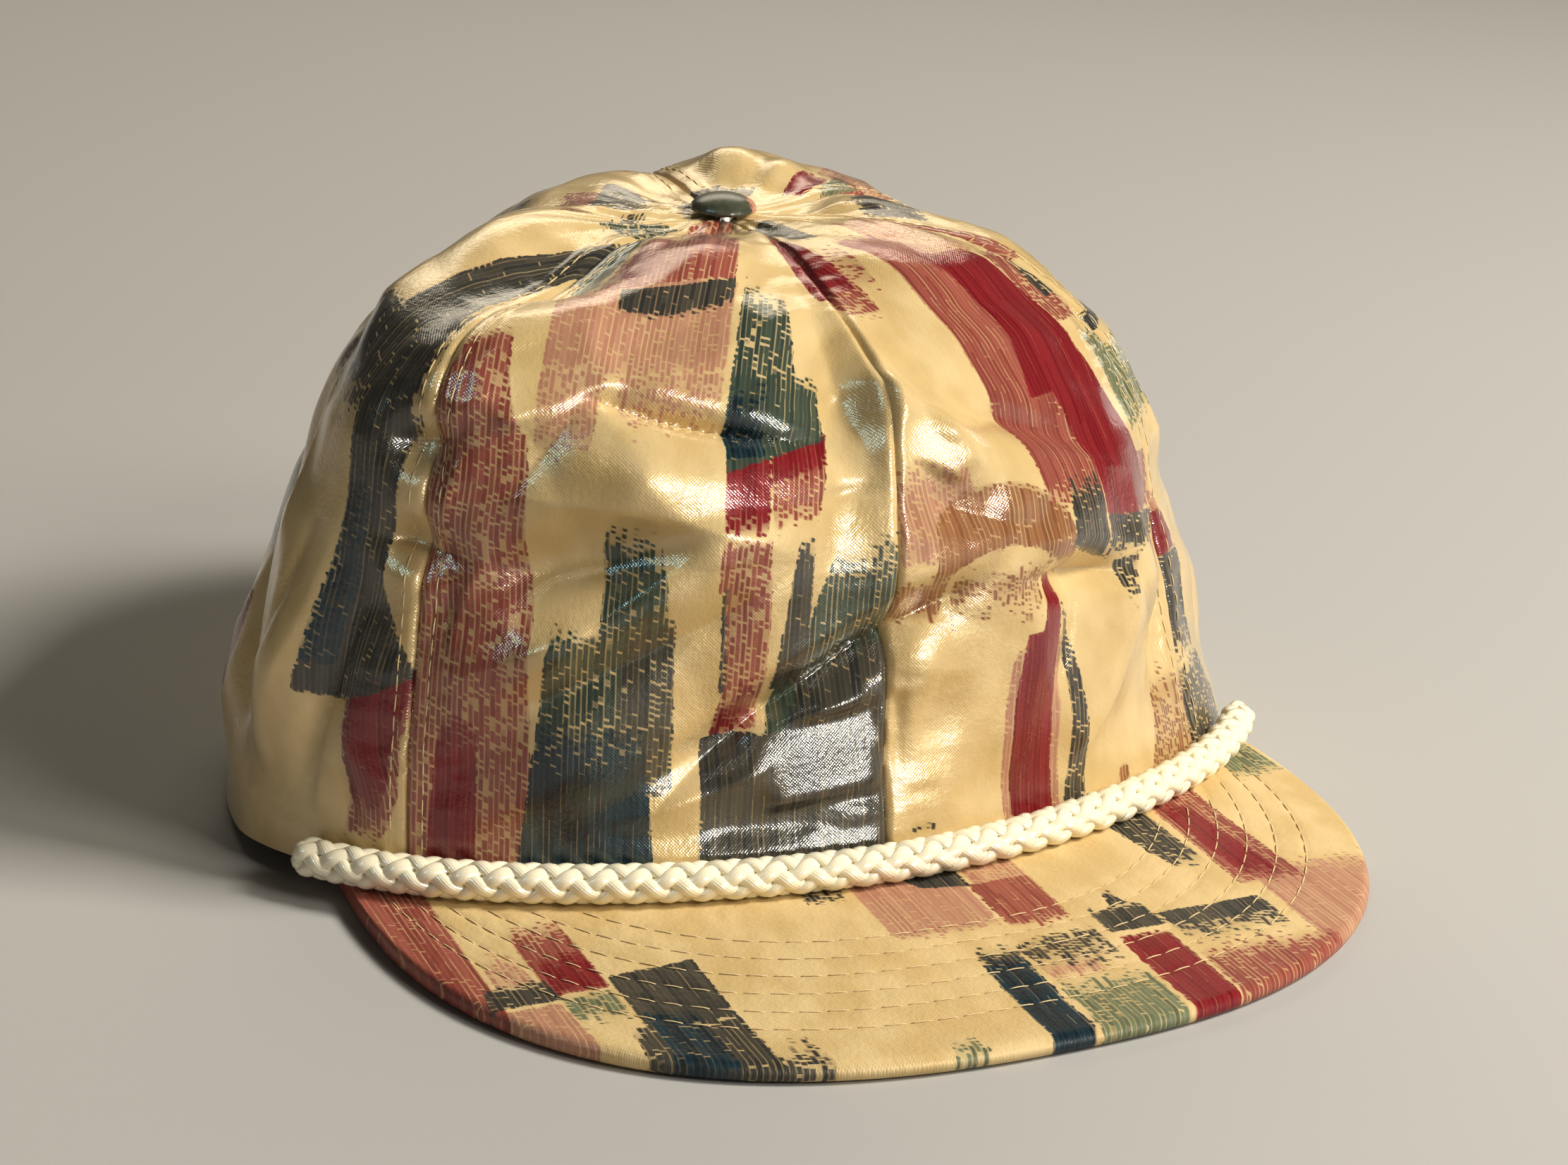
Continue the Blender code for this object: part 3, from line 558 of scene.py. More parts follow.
# Seams, puckers and pleats of the cloth, in millimetres
SEAM_DIP = 0.75
SEAM_DIP_WIDTH = 0.6
PLAIN_SEAM = 0.0
PLAIN_WELT = 0.15
WELT_HEIGHT = 0.30
WELT_WIDTH = 3.6
WELT_SLOPE = 1.3
STITCH_INSET = 2.9
STITCH_GROOVE = 0.16
STITCH_GROOVE_WIDTH = 0.5
PUCKER_HEIGHT = 0.50
PUCKER_REACH = 8.0
PUCKER_CLEAR = 1.5
PUCKER_START = 5
PUCKER_SIDE = 9
PLEAT_HEIGHT = 0.80
PLEAT_TURN = 7.0
PLEAT_ROWS = 6
PLEAT_CLEAR = 1.0
PLEAT_LEVELS = (0.80, 0.89, 0.95, 0.99)
PLEAT_START = 60
PLEAT_SEED = 70
CREST = 0.09
CREASE_FADE = 1.3
CLEAR_OF_SEAM = 5.0
HEM_CLEAR = (4.5, 11.0)

# Crumples: height, width and rise. Puckers: share, reach and rise. Facets: lean, length, height
CRUMPLES = ((0.35, 24.0, 30.0), (0.16, 11.0, 13.0), (0.09, 4.6, 5.5))
CRUMPLE_START = 20
PUCKERS = ((1.0, 11, 3.6), (0.6, 7, 2.0))
FACETS = ((35.0, 38.0, 1.10), (-40.0, 29.0, 0.85), (80.0, 23.0, 0.55), (-12.0, 16.0, 0.28))
FACET_ROUNDING = 0.99
FACET_BEND = 2.5
FACET_BEND_SPAN = 40
FACET_BEND_START = 30
FACET_PATCH = (22, 26)
FACET_PATCH_START = 40
FACET_PATCH_SEED = 50
FACET_PATCH_SHARE = (0.9, 0.5)

# Flats: share of the way into the plane, clearance of a seam, reach and width of the soft edge
FLAT_SHARE = 0.82
FLAT_CLEAR_OF_SEAM = 2.0
FLAT_EDGE = 1.25
FLAT_EDGE_WIDTH = 0.5
FLAT_LEAST = 0.5

# Ink: cover of bare cloth, spread and softness of a stroke's edge, how quickly a dry end fills
BARE_COVER = -0.3
STROKE_SPREAD = 0.4
STROKE_SOFTNESS = 1.1
DRY_POWER = 0.75
NOISE_CELLS = 97


def soft_noise(x, y, seed):
    """Smooth random heights from -1 to 1, one hill or dip to a unit."""
    heights = np.random.default_rng(seed).uniform(-1, 1, (NOISE_CELLS, NOISE_CELLS))
    column = np.floor(x).astype(int)
    row = np.floor(y).astype(int)
    right = smooth_step(x - column)
    above = smooth_step(y - row)
    here = heights[column % NOISE_CELLS, row % NOISE_CELLS]
    beside = heights[(column + 1) % NOISE_CELLS, row % NOISE_CELLS]
    over = heights[column % NOISE_CELLS, (row + 1) % NOISE_CELLS]
    corner = heights[(column + 1) % NOISE_CELLS, (row + 1) % NOISE_CELLS]
    low = here + (beside - here) * right
    high = over + (corner - over) * right
    return low + (high - low) * above


def facet_wave(across, up, lean, length, shift):
    """Flat slopes that meet in rounded edges, from -1 to 1."""
    cosine = math.cos(math.radians(lean))
    sine = math.sin(math.radians(lean))
    wave = np.sin((across * cosine + up * sine) * 2 * math.pi / length + shift)
    return np.arcsin(FACET_ROUNDING * wave) * 2 / math.pi


def away_from(distance, clear):
    return 1 - np.exp(-(distance / clear) ** 2)


def fine_relief(turn, level, ring_radius, across, up, to_seam, welted, seed):
    """Height over the smooth cloth in millimetres: seams, puckers, crumples, creases, pleats.

    welted is 1 beside a topstitched seam and small beside a plain one.
    """
    relief = np.zeros(len(level))
    for height, wide, tall in CRUMPLES:
        seed += 1
        relief += height * soft_noise(across / wide + CRUMPLE_START, up / tall + CRUMPLE_START, seed)
    for lean, length, height in FACETS:
        seed += 1
        bend = FACET_BEND * soft_noise(across / FACET_BEND_SPAN + FACET_BEND_START,
                                       up / FACET_BEND_SPAN + FACET_BEND_START, seed)
        patch = soft_noise(across / FACET_PATCH[0] + FACET_PATCH_START,
                           up / FACET_PATCH[1] + FACET_PATCH_START, seed + FACET_PATCH_SEED)
        strength = smooth_step(patch * FACET_PATCH_SHARE[0] + FACET_PATCH_SHARE[1])
        relief += height * strength * facet_wave(across, up, lean, length, bend + seed)
    relief *= away_from(to_seam, CLEAR_OF_SEAM)
    start = PUCKER_START + PUCKER_SIDE * np.sign(across)
    pucker = np.zeros(len(level))
    for share, wide, tall in PUCKERS:
        seed += 1
        pucker += share * soft_noise(to_seam / wide + start, up / tall, seed)
    relief += (PUCKER_HEIGHT * pucker * np.exp(-to_seam / PUCKER_REACH)
               * (1 - np.exp(-to_seam / PUCKER_CLEAR)))
    for crease_turn, crease_level, half_length, half_width, lean, bow, height in CREASES:
        along, aside = fold_frame(turn, level, ring_radius, crease_turn, crease_level, lean)
        along = along / MM / half_length
        aside = (aside / MM + bow * along ** 2) / half_width
        sharp = np.exp(CREST - np.sqrt(aside ** 2 + CREST ** 2))
        relief += height * sharp * smooth_step(CREASE_FADE - np.abs(along))
    for puff_turn, puff_level, half_length, half_width, lean, height in PUFFS:
        along, aside = fold_frame(turn, level, ring_radius, puff_turn, puff_level, lean)
        relief += height * np.exp(-(along / MM / half_length) ** 2 - (aside / MM / half_width) ** 2)
    relief *= smooth_step((up - HEM_CLEAR[0]) / (HEM_CLEAR[1] - HEM_CLEAR[0]))
    pleat = soft_noise(turn / PLEAT_TURN + PLEAT_START, level * PLEAT_ROWS, PLEAT_SEED)
    pleat = pleat * level_window(level, PLEAT_LEVELS)
    relief += PLEAT_HEIGHT * pleat * (1 - np.exp(-to_seam / PLEAT_CLEAR))
    relief += welted * WELT_HEIGHT * (1 - smooth_step((to_seam - WELT_WIDTH) / WELT_SLOPE))
    relief -= welted * STITCH_GROOVE * np.exp(-((to_seam - STITCH_INSET) / STITCH_GROOVE_WIDTH) ** 2)
    relief -= SEAM_DIP * np.exp(-(to_seam / SEAM_DIP_WIDTH) ** 2)
    return relief


def pulled_flat(outer, normal, turn, level, ring_radius, to_seam):
    """The skin with each stretch of FLATS laid in its plane."""
    for flat_turn, flat_level, half_length, half_width, lean, bearing, height, shift in FLATS:
        along, aside = fold_frame(turn, level, ring_radius, flat_turn, flat_level, lean)
        along = np.abs(along) / MM / half_length
        aside = np.abs(aside) / MM / half_width
        share = FLAT_SHARE * away_from(to_seam, FLAT_CLEAR_OF_SEAM)
        for part in (along, aside):
            share = share * smooth_step((FLAT_EDGE - part) / FLAT_EDGE_WIDTH)
        if share.max() < FLAT_LEAST:
            continue
        facing = np.array(pointing(bearing, height))
        middle = outer[np.argmin(along ** 2 + aside ** 2)] + facing * shift * MM
        outer = outer + normal * (share * ((middle - outer) @ facing) / (normal @ facing))[:, None]
    return outer


def stroke_edge(distance):
    return smooth_step((distance + STROKE_SPREAD) / STROKE_SOFTNESS)


def ink_cover(across, up, strokes):
    """How fully each ink covers each place of the cloth."""
    cover = {ink: np.full(across.shape, BARE_COVER) for ink in INKS}
    for ink, left_foot, right_foot, left_head, right_head, foot, head, *rest in strokes:
        amount, foot_rag, head_rag, *bent = rest
        bow, arch, foot_slope, head_slope = (*bent, 0, 0, 0, 0)[:4]
        middle = (left_foot + right_foot + left_head + right_head) / 4
        width = max(right_foot - left_foot, right_head - left_head)
        bend = arch * (1 - (2 * (across - middle) / width) ** 2)
        from_foot = up - foot - foot_slope * (across - middle) - bend
        to_head = head + head_slope * (across - middle) + bend - up
        part = np.clip(from_foot / (from_foot + to_head), 0, 1)
        sway = bow * 4 * part * (1 - part)
        left = left_foot + (left_head - left_foot) * part + sway
        right = right_foot + (right_head - right_foot) * part + sway
        inside = stroke_edge(np.minimum(across - left, right - across))
        for distance, rag in ((from_foot, foot_rag), (to_head, head_rag)):
            dry = np.clip(distance / rag, 0, 1) ** DRY_POWER if rag else stroke_edge(distance)
            inside = inside * dry
        cover[ink] = np.maximum(cover[ink], amount * inside + BARE_COVER * (1 - inside))
    return cover


CLOTH_SHARP_ANGLE = 60


def deselect():
    bpy.ops.object.select_all(action="DESELECT")


def mesh_piece(name, points, quads, materials, face_materials=None, cloth_places=None, cover=None):
    """A finished mesh object from points and four-cornered faces."""
    mesh = bpy.data.meshes.new(name)
    mesh.vertices.add(len(points))
    mesh.vertices.foreach_set("co", np.asarray(points, np.float32).ravel())
    mesh.loops.add(len(quads) * 4)
    mesh.loops.foreach_set("vertex_index", np.asarray(quads, np.int32).ravel())
    mesh.polygons.add(len(quads))
    mesh.polygons.foreach_set("loop_start", np.arange(0, len(quads) * 4, 4, dtype=np.int32))
    mesh.update(calc_edges=True)
    for material in materials:
        mesh.materials.append(material)
    if face_materials is not None:
        mesh.polygons.foreach_set("material_index", np.asarray(face_materials, np.int32))
    if cloth_places is not None:
        corners = cloth_places[np.asarray(quads).ravel()]
        layer = mesh.uv_layers.new(name="cloth")
        layer.data.foreach_set("uv", np.asarray(corners, np.float32).ravel())
    for ink, values in (cover or {}).items():
        attribute = mesh.attributes.new("ink_" + ink, "FLOAT", "POINT")
        attribute.data.foreach_set("value", values.astype(np.float32))
    mesh.validate()
    mesh.shade_smooth()
    mesh.set_sharp_from_angle(angle=math.radians(CLOTH_SHARP_ANGLE))
    piece = bpy.data.objects.new(name, mesh)
    bpy.context.scene.collection.objects.link(piece)
    return piece


def grid_quads(rows, columns, first=0, flip=False):
    low = (first + np.arange(rows)[:, None] * (columns + 1) + np.arange(columns)).ravel()
    quads = np.stack([low, low + 1, low + columns + 2, low + columns + 1], axis=1)
    return quads[:, ::-1] if flip else quads


def cap_quads(first, size, flip=False):
    """Faces that close the end of a tube, across a ring of this size."""
    quads = []
    for step in range(size // 2 - 1):
        quad = (first + step, first + step + 1, first + size - 2 - step, first + size - 1 - step)
        quads.append(quad[::-1] if flip else quad)
    return np.array(quads)


class Finish:
    """One material, built from left to right."""

    def __init__(self, name):
        self.material = bpy.data.materials.new(name)
        self.material.use_nodes = True
        self.tree = self.material.node_tree
        self.shader = self.tree.nodes["Principled BSDF"]

    def node(self, kind, inputs=None, output=0, **settings):
        node = self.tree.nodes.new("ShaderNode" + kind)
        for setting, value in settings.items():
            setattr(node, setting, value)
        for socket, value in (inputs or {}).items():
            self.put(node.inputs[socket], value)
        return node.outputs[output]

    def put(self, socket, value):
        if isinstance(value, bpy.types.NodeSocket):
            self.tree.links.new(value, socket)
        else:
            socket.default_value = value

    def math(self, operation, first, second=0.0, third=0.0):
        return self.node("Math", {0: first, 1: second, 2: third}, operation=operation)

    def ramp(self, value, low, high, to_low=0.0, to_high=1.0):
        inputs = {0: value, 1: low, 2: high, 3: to_low, 4: to_high}
        return self.node("MapRange", inputs, interpolation_type="SMOOTHSTEP")

    def mix(self, share, first, second):
        return self.node("Mix", {0: share, 6: first, 7: second}, output=2, data_type="RGBA")

    def tones(self, share, pair):
        return self.mix(share, colour(pair[0]), colour(pair[1]))

    def own_place(self):
        return self.node("TexCoord", output=3)

    def split(self, vector):
        parts = self.tree.nodes.new("ShaderNodeSeparateXYZ")
        self.put(parts.inputs[0], vector)
        return parts.outputs

    def pair(self, x, y):
        return self.node("CombineXYZ", {0: x, 1: y})

    def random(self, x, y):
        return self.node("TexWhiteNoise", {0: self.pair(x, y)}, noise_dimensions="2D")

    def noise(self, vector, scale, detail=2.0):
        return self.node("TexNoise", {"Vector": vector, "Scale": scale, "Detail": detail})

    def run_of(self, column, own, up, length, shift):
        """A random value for each run of cloth of this length in one brushed line."""
        run = self.math("MULTIPLY_ADD", own, RUN_SHIFT, self.math("DIVIDE", up, length))
        run = self.math("FLOOR", run)
        return self.random(self.math("ADD", column, shift), run)

    def weighed(self, shares, *values):
        """The first share, plus each value times its own share."""
        total = shares[0]
        for share, value in zip(shares[1:], values):
            total = self.math("MULTIPLY_ADD", value, share, total)
        return total

    def edge_of(self, cells):
        """0 in the middle of a cell and 1 at its edges."""
        away = self.math("SUBTRACT", self.math("FRACT", cells), 0.5)
        return self.math("MULTIPLY", self.math("ABSOLUTE", away), 2.0)

    def bump(self, height, strength, distance):
        return self.node("Bump", {"Strength": strength, "Distance": distance, "Height": height})

    def set(self, **values):
        for name, value in values.items():
            self.put(self.shader.inputs[name.replace("_", " ")], value)
        return self.material


def colour(rgb):
    return (*rgb, 1.0)


# The printed cloth: grid of its brushed lines and dashes in millimetres, and its bare colour
CLOTH_UNIT = 100.0
COLUMN_PITCH = 0.98
DASH_PITCH = 1.15
DASH_SLANT = 0.31
DASH_SHIFT = 0.55
GROUND_TONES = ((0.62, 0.445, 0.195), (0.72, 0.545, 0.275))
GROUND_PATCH = (9.0, 14.0)

# Runs along a brushed line: length in millimetres and what sets their draws apart
RUN = (4.6, 11.0)
STREAK = (19.0, 37.0)
TONE_RUN = (34.0, 71.0)
GAP_SHORT = (3.4, 23.0)
GAP_LONG = (21.0, 53.0)
RUN_SHIFT = 7.0
COLUMN_DRAW = 3.0
GAP_DRAW = 9.0
TICK_DRAW = 300.0

# How much of each ink lies on the cloth between its dashes
UNDER_TINT = {"pink": 0.50, "tan": 0.45, "rose": 0.40, "crimson": 0.70, "sage": 0.30, "moss": 0.22,
              "charcoal": 0.22, "teal": 0.45}
UNDER_COVER = (0.30, 0.70)

# Cover that an ink needs in the body of a dash, in the tick below it and in the gap beside its
# column: the least, then what each random value adds
BODY_NEED = (0.02, 0.46, 0.18, 0.26)
TICK_NEED = (0.04, 0.99)
TICK_EDGE = (0.0, 0.8)
GAP_NEED = (0.45, 0.30, 0.62)
GAP_EDGE = (0.30, 0.90)
NEED_SOFTNESS = 0.08
GAP_SOFTNESS = 0.12
TONE_SHARES = (0.0, 0.65, 0.35)
TONE_EDGE = (0.35, 1.0)

# How far the cloth shows through in the gaps
GAP_SHOW = {"pink": 0.46, "tan": 0.40, "rose": 0.42, "crimson": 0.14, "sage": 0.42, "moss": 0.38,
            "charcoal": 0.26, "teal": 0.22}

# Weave: thread pitch in millimetres, scale of slubs and flecks, their shares, depth in metres
THREAD_PITCH = 0.6
SLUB_SCALE = (1.7, 8.0)
FLECK_SCALE = (1.1, 0.9)
WEAVE_SHARES = (0.0, 0.8, 7.0)
WEAVE_DEPTH = 0.00006
ROUGHNESS_PATCH = (0.25, 0.75)
ROUGHNESS_SPREAD = (-0.05, 0.07)
INK_SMOOTHER = -0.04
CLOTH_GLOSS = 0.25


def printed_finish(name, roughness, gleam, coat, coat_roughness, weave):
    """Glazed cotton with dry brush strokes that break up into dashes along its warp threads."""
    made = Finish(name)
    places = made.split(made.node("UVMap", uv_map="cloth"))
    across = made.math("MULTIPLY", places[0], CLOTH_UNIT)
    up = made.math("MULTIPLY", places[1], CLOTH_UNIT)
    columns = made.math("DIVIDE", across, COLUMN_PITCH)
    column = made.math("FLOOR", columns)
    column_edge = made.edge_of(columns)
    own = made.random(column, COLUMN_DRAW)
    shift = made.math("MULTIPLY_ADD", columns, DASH_SLANT, made.math("MULTIPLY", own, DASH_SHIFT))
    dashes = made.math("ADD", shift, made.math("DIVIDE", up, DASH_PITCH))
    cell = made.random(column, made.math("FLOOR", dashes))
    tick_cell = made.math("FLOOR", made.math("ADD", dashes, 0.5))
    tick = made.random(made.math("ADD", column, TICK_DRAW), tick_cell)
    gap_column = made.math("FLOOR", made.math("ADD", columns, 0.5))
    gap_own = made.random(gap_column, GAP_DRAW)
    run = made.run_of(column, own, up, *RUN)
    streak = made.run_of(column, own, up, *STREAK)
    gap_short = made.run_of(gap_column, gap_own, up, *GAP_SHORT)
    gap_long = made.run_of(gap_column, gap_own, up, *GAP_LONG)
    body_need = made.weighed(BODY_NEED, cell, run, streak)
    tick_need = made.weighed(TICK_NEED, tick)
    tick_need = made.math("MULTIPLY", tick_need, made.ramp(made.edge_of(dashes), *TICK_EDGE))
    gap_need = made.weighed(GAP_NEED, gap_short, gap_long)
    gap_need = made.math("MULTIPLY", gap_need, made.ramp(column_edge, *GAP_EDGE))
    tone = made.run_of(column, own, up, *TONE_RUN)
    tone = made.weighed(TONE_SHARES, tone, made.ramp(column_edge, *TONE_EDGE))
    need = made.math("MAXIMUM", body_need, tick_need)
    low = made.math("SUBTRACT", need, NEED_SOFTNESS)
    high = made.math("ADD", need, NEED_SOFTNESS)
    gap_low = made.math("SUBTRACT", gap_need, GAP_SOFTNESS)
    gap_high = made.math("ADD", gap_need, GAP_SOFTNESS)
    patch_across = made.math("DIVIDE", across, GROUND_PATCH[0])
    patch_up = made.math("DIVIDE", up, GROUND_PATCH[1])
    cloth = made.noise(made.pair(patch_across, patch_up), 1.0)
    shade = made.tones(made.ramp(cloth, 0.3, 0.7), GROUND_TONES)
    inked = 0.0
    for ink, tones in INKS.items():
        cover = made.node("Attribute", output=2, attribute_name="ink_" + ink)
        share = made.ramp(cover, low, high)
        share = made.math("MULTIPLY", share, made.ramp(cover, gap_low, gap_high, 1 - GAP_SHOW[ink], 1.0))
        share = made.math("MAXIMUM", share, made.ramp(cover, *UNDER_COVER, 0.0, UNDER_TINT[ink]))
        shade = made.mix(share, shade, made.tones(tone, tones))
        inked = made.math("MAXIMUM", inked, share)
    warp = made.math("SINE", made.math("MULTIPLY", across, 2 * math.pi / THREAD_PITCH))
    weft = made.math("SINE", made.math("MULTIPLY", up, 2 * math.pi / THREAD_PITCH))
    slub_across = made.math("MULTIPLY", across, SLUB_SCALE[0])
    slub = made.noise(made.pair(slub_across, made.math("DIVIDE", up, SLUB_SCALE[1])), 1.0)
    fleck_across = made.math("MULTIPLY", across, FLECK_SCALE[0])
    fleck = made.noise(made.pair(fleck_across, made.math("MULTIPLY", up, FLECK_SCALE[1])), 1.0, 1.0)
    height = made.weighed(WEAVE_SHARES, slub, fleck)
    height = made.math("ADD", height, made.math("MULTIPLY", warp, weft))
    relief = made.bump(height, weave, WEAVE_DEPTH)
    rough = made.ramp(cloth, *ROUGHNESS_PATCH, *(roughness + spread for spread in ROUGHNESS_SPREAD))
    rough = made.math("MULTIPLY_ADD", inked, INK_SMOOTHER, rough)
    return made.set(Base_Color=shade, Roughness=rough, Normal=relief, Metallic=gleam,
                    Specular_IOR_Level=CLOTH_GLOSS, Coat_Weight=coat, Coat_Roughness=coat_roughness,
                    Coat_Normal=relief)


# Deep and light tone of the plain finishes
REVERSE_TONES = ((0.56, 0.44, 0.27), (0.68, 0.56, 0.37))
THREAD_TONES = ((0.62, 0.46, 0.23), (0.78, 0.62, 0.36))
CORD_TONES = ((0.93, 0.84, 0.60), (1.0, 0.95, 0.74))
BUTTON_TONES = ((0.022, 0.030, 0.022), (0.085, 0.090, 0.055))
BUTTON_PINK = (0.48, 0.22, 0.15)
RIVET_GREY = (0.52, 0.50, 0.46)
FLOOR_TONES = ((0.42, 0.415, 0.405), (0.4368, 0.4316, 0.4212))
BACKDROP_TONES = ((0.34, 0.335, 0.33), (0.3536, 0.3484, 0.3432))


def reverse_finish():
    """The unprinted inside of the cloth."""
    made = Finish("cloth_reverse")
    spot = made.own_place()
    shade = made.tones(made.noise(spot, 90.0), REVERSE_TONES)
    grain = made.noise(spot, 2600.0, 1.0)
    return made.set(Base_Color=shade, Roughness=0.82, Normal=made.bump(grain, 0.35, 0.0002))


def thread_finish():
    made = Finish("sewing_thread")
    twist = made.noise(made.own_place(), 3200.0, 1.0)
    return made.set(Base_Color=made.tones(twist, THREAD_TONES), Roughness=0.55,
                    Normal=made.bump(twist, 0.4, 0.0001))


YARNS = 9
FIBRE_STRETCH = (60.0, 6.0, 1.0)


def rope_finish():
    """Glossy off-white yarns that lie side by side along each strand."""
    made = Finish("braided_cord")
    place = made.node("UVMap", uv_map="cloth")
    yarns = made.math("SINE", made.math("MULTIPLY", made.split(place)[0], 2 * math.pi * YARNS))
    fibre = made.noise(made.node("Mapping", {0: place, 3: FIBRE_STRETCH}), 4.0)
    height = made.math("MULTIPLY_ADD", fibre, 0.7, yarns)
    return made.set(Base_Color=made.tones(fibre, CORD_TONES), Roughness=0.32,
                    Normal=made.bump(height, 0.2, 0.00012), Coat_Weight=1.0, Coat_Roughness=0.2)


# Where the button's pink stroke begins to its side, and how ragged its edge is, in metres
PINK_EDGE = (0.0048, 0.0056)
PINK_RAG = 0.003


def button_finish():
    """Dark printed cloth over the button, with a pink stroke at one side."""
    made = Finish("button_cover")
    spot = made.own_place()
    seat = (BUTTON_X, BUTTON_Y, CROWN_TOP)
    centred = made.node("VectorMath", {0: spot, 1: seat}, operation="SUBTRACT")
    ragged = made.noise(spot, 900.0)
    side = made.math("MULTIPLY_ADD", ragged, PINK_RAG, made.split(centred)[0])
    shade = made.mix(made.ramp(side, *PINK_EDGE), made.tones(ragged, BUTTON_TONES), colour(BUTTON_PINK))
    threads = made.noise(spot, 2400.0, 1.0)
    return made.set(Base_Color=shade, Roughness=0.36, Normal=made.bump(threads, 0.25, 0.00015),
                    Coat_Weight=0.35, Coat_Roughness=0.25)


def rivet_finish():
    made = Finish("rivet_metal")
    scratch = made.noise(made.own_place(), 1500.0)
    return made.set(Base_Color=colour(RIVET_GREY), Metallic=1.0,
                    Roughness=made.ramp(scratch, 0.3, 0.7, 0.3, 0.5))


def stage_finish(name, tones, roughness):
    made = Finish(name)
    haze = made.noise(made.own_place(), 1.6)
    return made.set(Base_Color=made.tones(haze, tones), Roughness=roughness, Specular_IOR_Level=0.02)


crown_cloth = printed_finish("printed_cloth_crown", roughness=0.32, gleam=0.13, coat=0.90,
                             coat_roughness=0.12, weave=0.21)
brim_cloth = printed_finish("printed_cloth_brim", roughness=0.52, gleam=0.08, coat=0.08,
                            coat_roughness=0.35, weave=0.30)
cloth_reverse = reverse_finish()
sewing_thread = thread_finish()
braided_cord = rope_finish()


def shifted(strokes, places):
    moved = []
    for shift, rise in places:
        for row in strokes:
            sides = [value + shift for value in row[1:5]]
            moved.append((row[0], *sides, row[5] + rise, row[6] + rise, *row[7:]))
    return moved


panel_skins = {}
SEED_STEP = 10
CLOTH_STEP = 0.01


def make_panel(panel):
    first_seam, second_seam, _, columns, rows, seed = PANELS[panel]
    shares = np.linspace(0, 1, columns + 1)
    levels = np.linspace(0, 1, rows + 1)
    turn = np.tile(first_seam + (second_seam - first_seam) * shares, rows + 1)
    level = np.repeat(levels, columns + 1)
    shape, normal, ring_radius = crown_shape(turn, level, panel)
    grid = shape.reshape(rows + 1, columns + 1, 3)
    steps = np.linalg.norm(np.diff(grid, axis=1), axis=2) / MM
    from_left = np.concatenate([np.zeros((rows + 1, 1)), steps.cumsum(axis=1)], axis=1)
    across = from_left - from_left[:, [columns // 2]]
    up = np.repeat(reach_along(grid[:, columns // 2]) / MM, columns + 1)
    to_seam = np.minimum(from_left, from_left[:, [-1]] - from_left).ravel()
    nearest = np.where(across.ravel() < 0, first_seam, second_seam)
    welted = np.where(nearest == PLAIN_SEAM, PLAIN_WELT, 1.0)
    relief = fine_relief(turn, level, ring_radius, across.ravel(), up, to_seam, welted, seed * SEED_STEP)
    outer = shape + normal * relief[:, None] * MM
    outer = pulled_flat(outer, normal, turn, level, ring_radius, to_seam)
    sunk = np.minimum(((outer - shape) * normal).sum(axis=1), 0)
    inner = shape + normal * (sunk - WALL)[:, None]
    inner[level == 0, 2] = outer[level == 0, 2]
    outer[:, 2] = np.maximum(outer[:, 2], 0.0)
    count = len(outer)
    wide = columns + 1
    bottom = np.arange(columns)
    right = np.arange(rows) * wide + columns
    top = rows * wide + np.arange(columns, 0, -1)
    left = np.arange(rows, 0, -1) * wide
    border = np.concatenate([bottom, right, top, left])
    after = np.roll(border, -1)
    rim = np.stack([border, border + count, after + count, after], axis=1)
    outside = grid_quads(rows, columns)
    inside = grid_quads(rows, columns, count, True)
    quads = np.concatenate([outside, rim, inside])
    kinds = np.concatenate([np.zeros(len(outside) + len(rim)), np.ones(len(inside))])
    strokes = list(STROKES[panel]) + shifted(REPEAT, REPEAT_PLACES.get(panel, ()))
    cover = {ink: np.tile(value, 2) for ink, value in ink_cover(across.ravel(), up, strokes).items()}
    places = np.tile(np.stack([across.ravel(), up], axis=1) / CLOTH_UNIT, (2, 1))
    places[:, 0] += CLOTH_STEP * seed
    piece = mesh_piece(panel + "_cloth", np.concatenate([outer, inner]), quads,
                       [crown_cloth, cloth_reverse], kinds, places, cover)
    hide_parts(panel)
    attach(piece, "root")
    panel_skins[panel] = (outer.reshape(rows + 1, columns + 1, 3), from_left)


for panel_name in PANELS:
    make_panel(panel_name)


# Stitches, in metres, and their form as shares of their thickness
STITCH_THICKNESS = 0.00030
CROWN_STITCH = 0.0030
CROWN_STITCH_GAP = 0.0007
BRIM_STITCH = 0.0036
BRIM_STITCH_GAP = 0.0010
STITCH_RINGS = 5
STITCH_SIDES = 5
STITCH_FLATNESS = 0.8
STITCH_ARC = (0.12, 0.76)
STITCH_RISE = (-0.35, 0.75)
STITCH_HALF = (0.55, 0.45)
STITCH_TIP_SINK = 0.3
SEAM_STITCH_LEVELS = (0.035, 0.93)


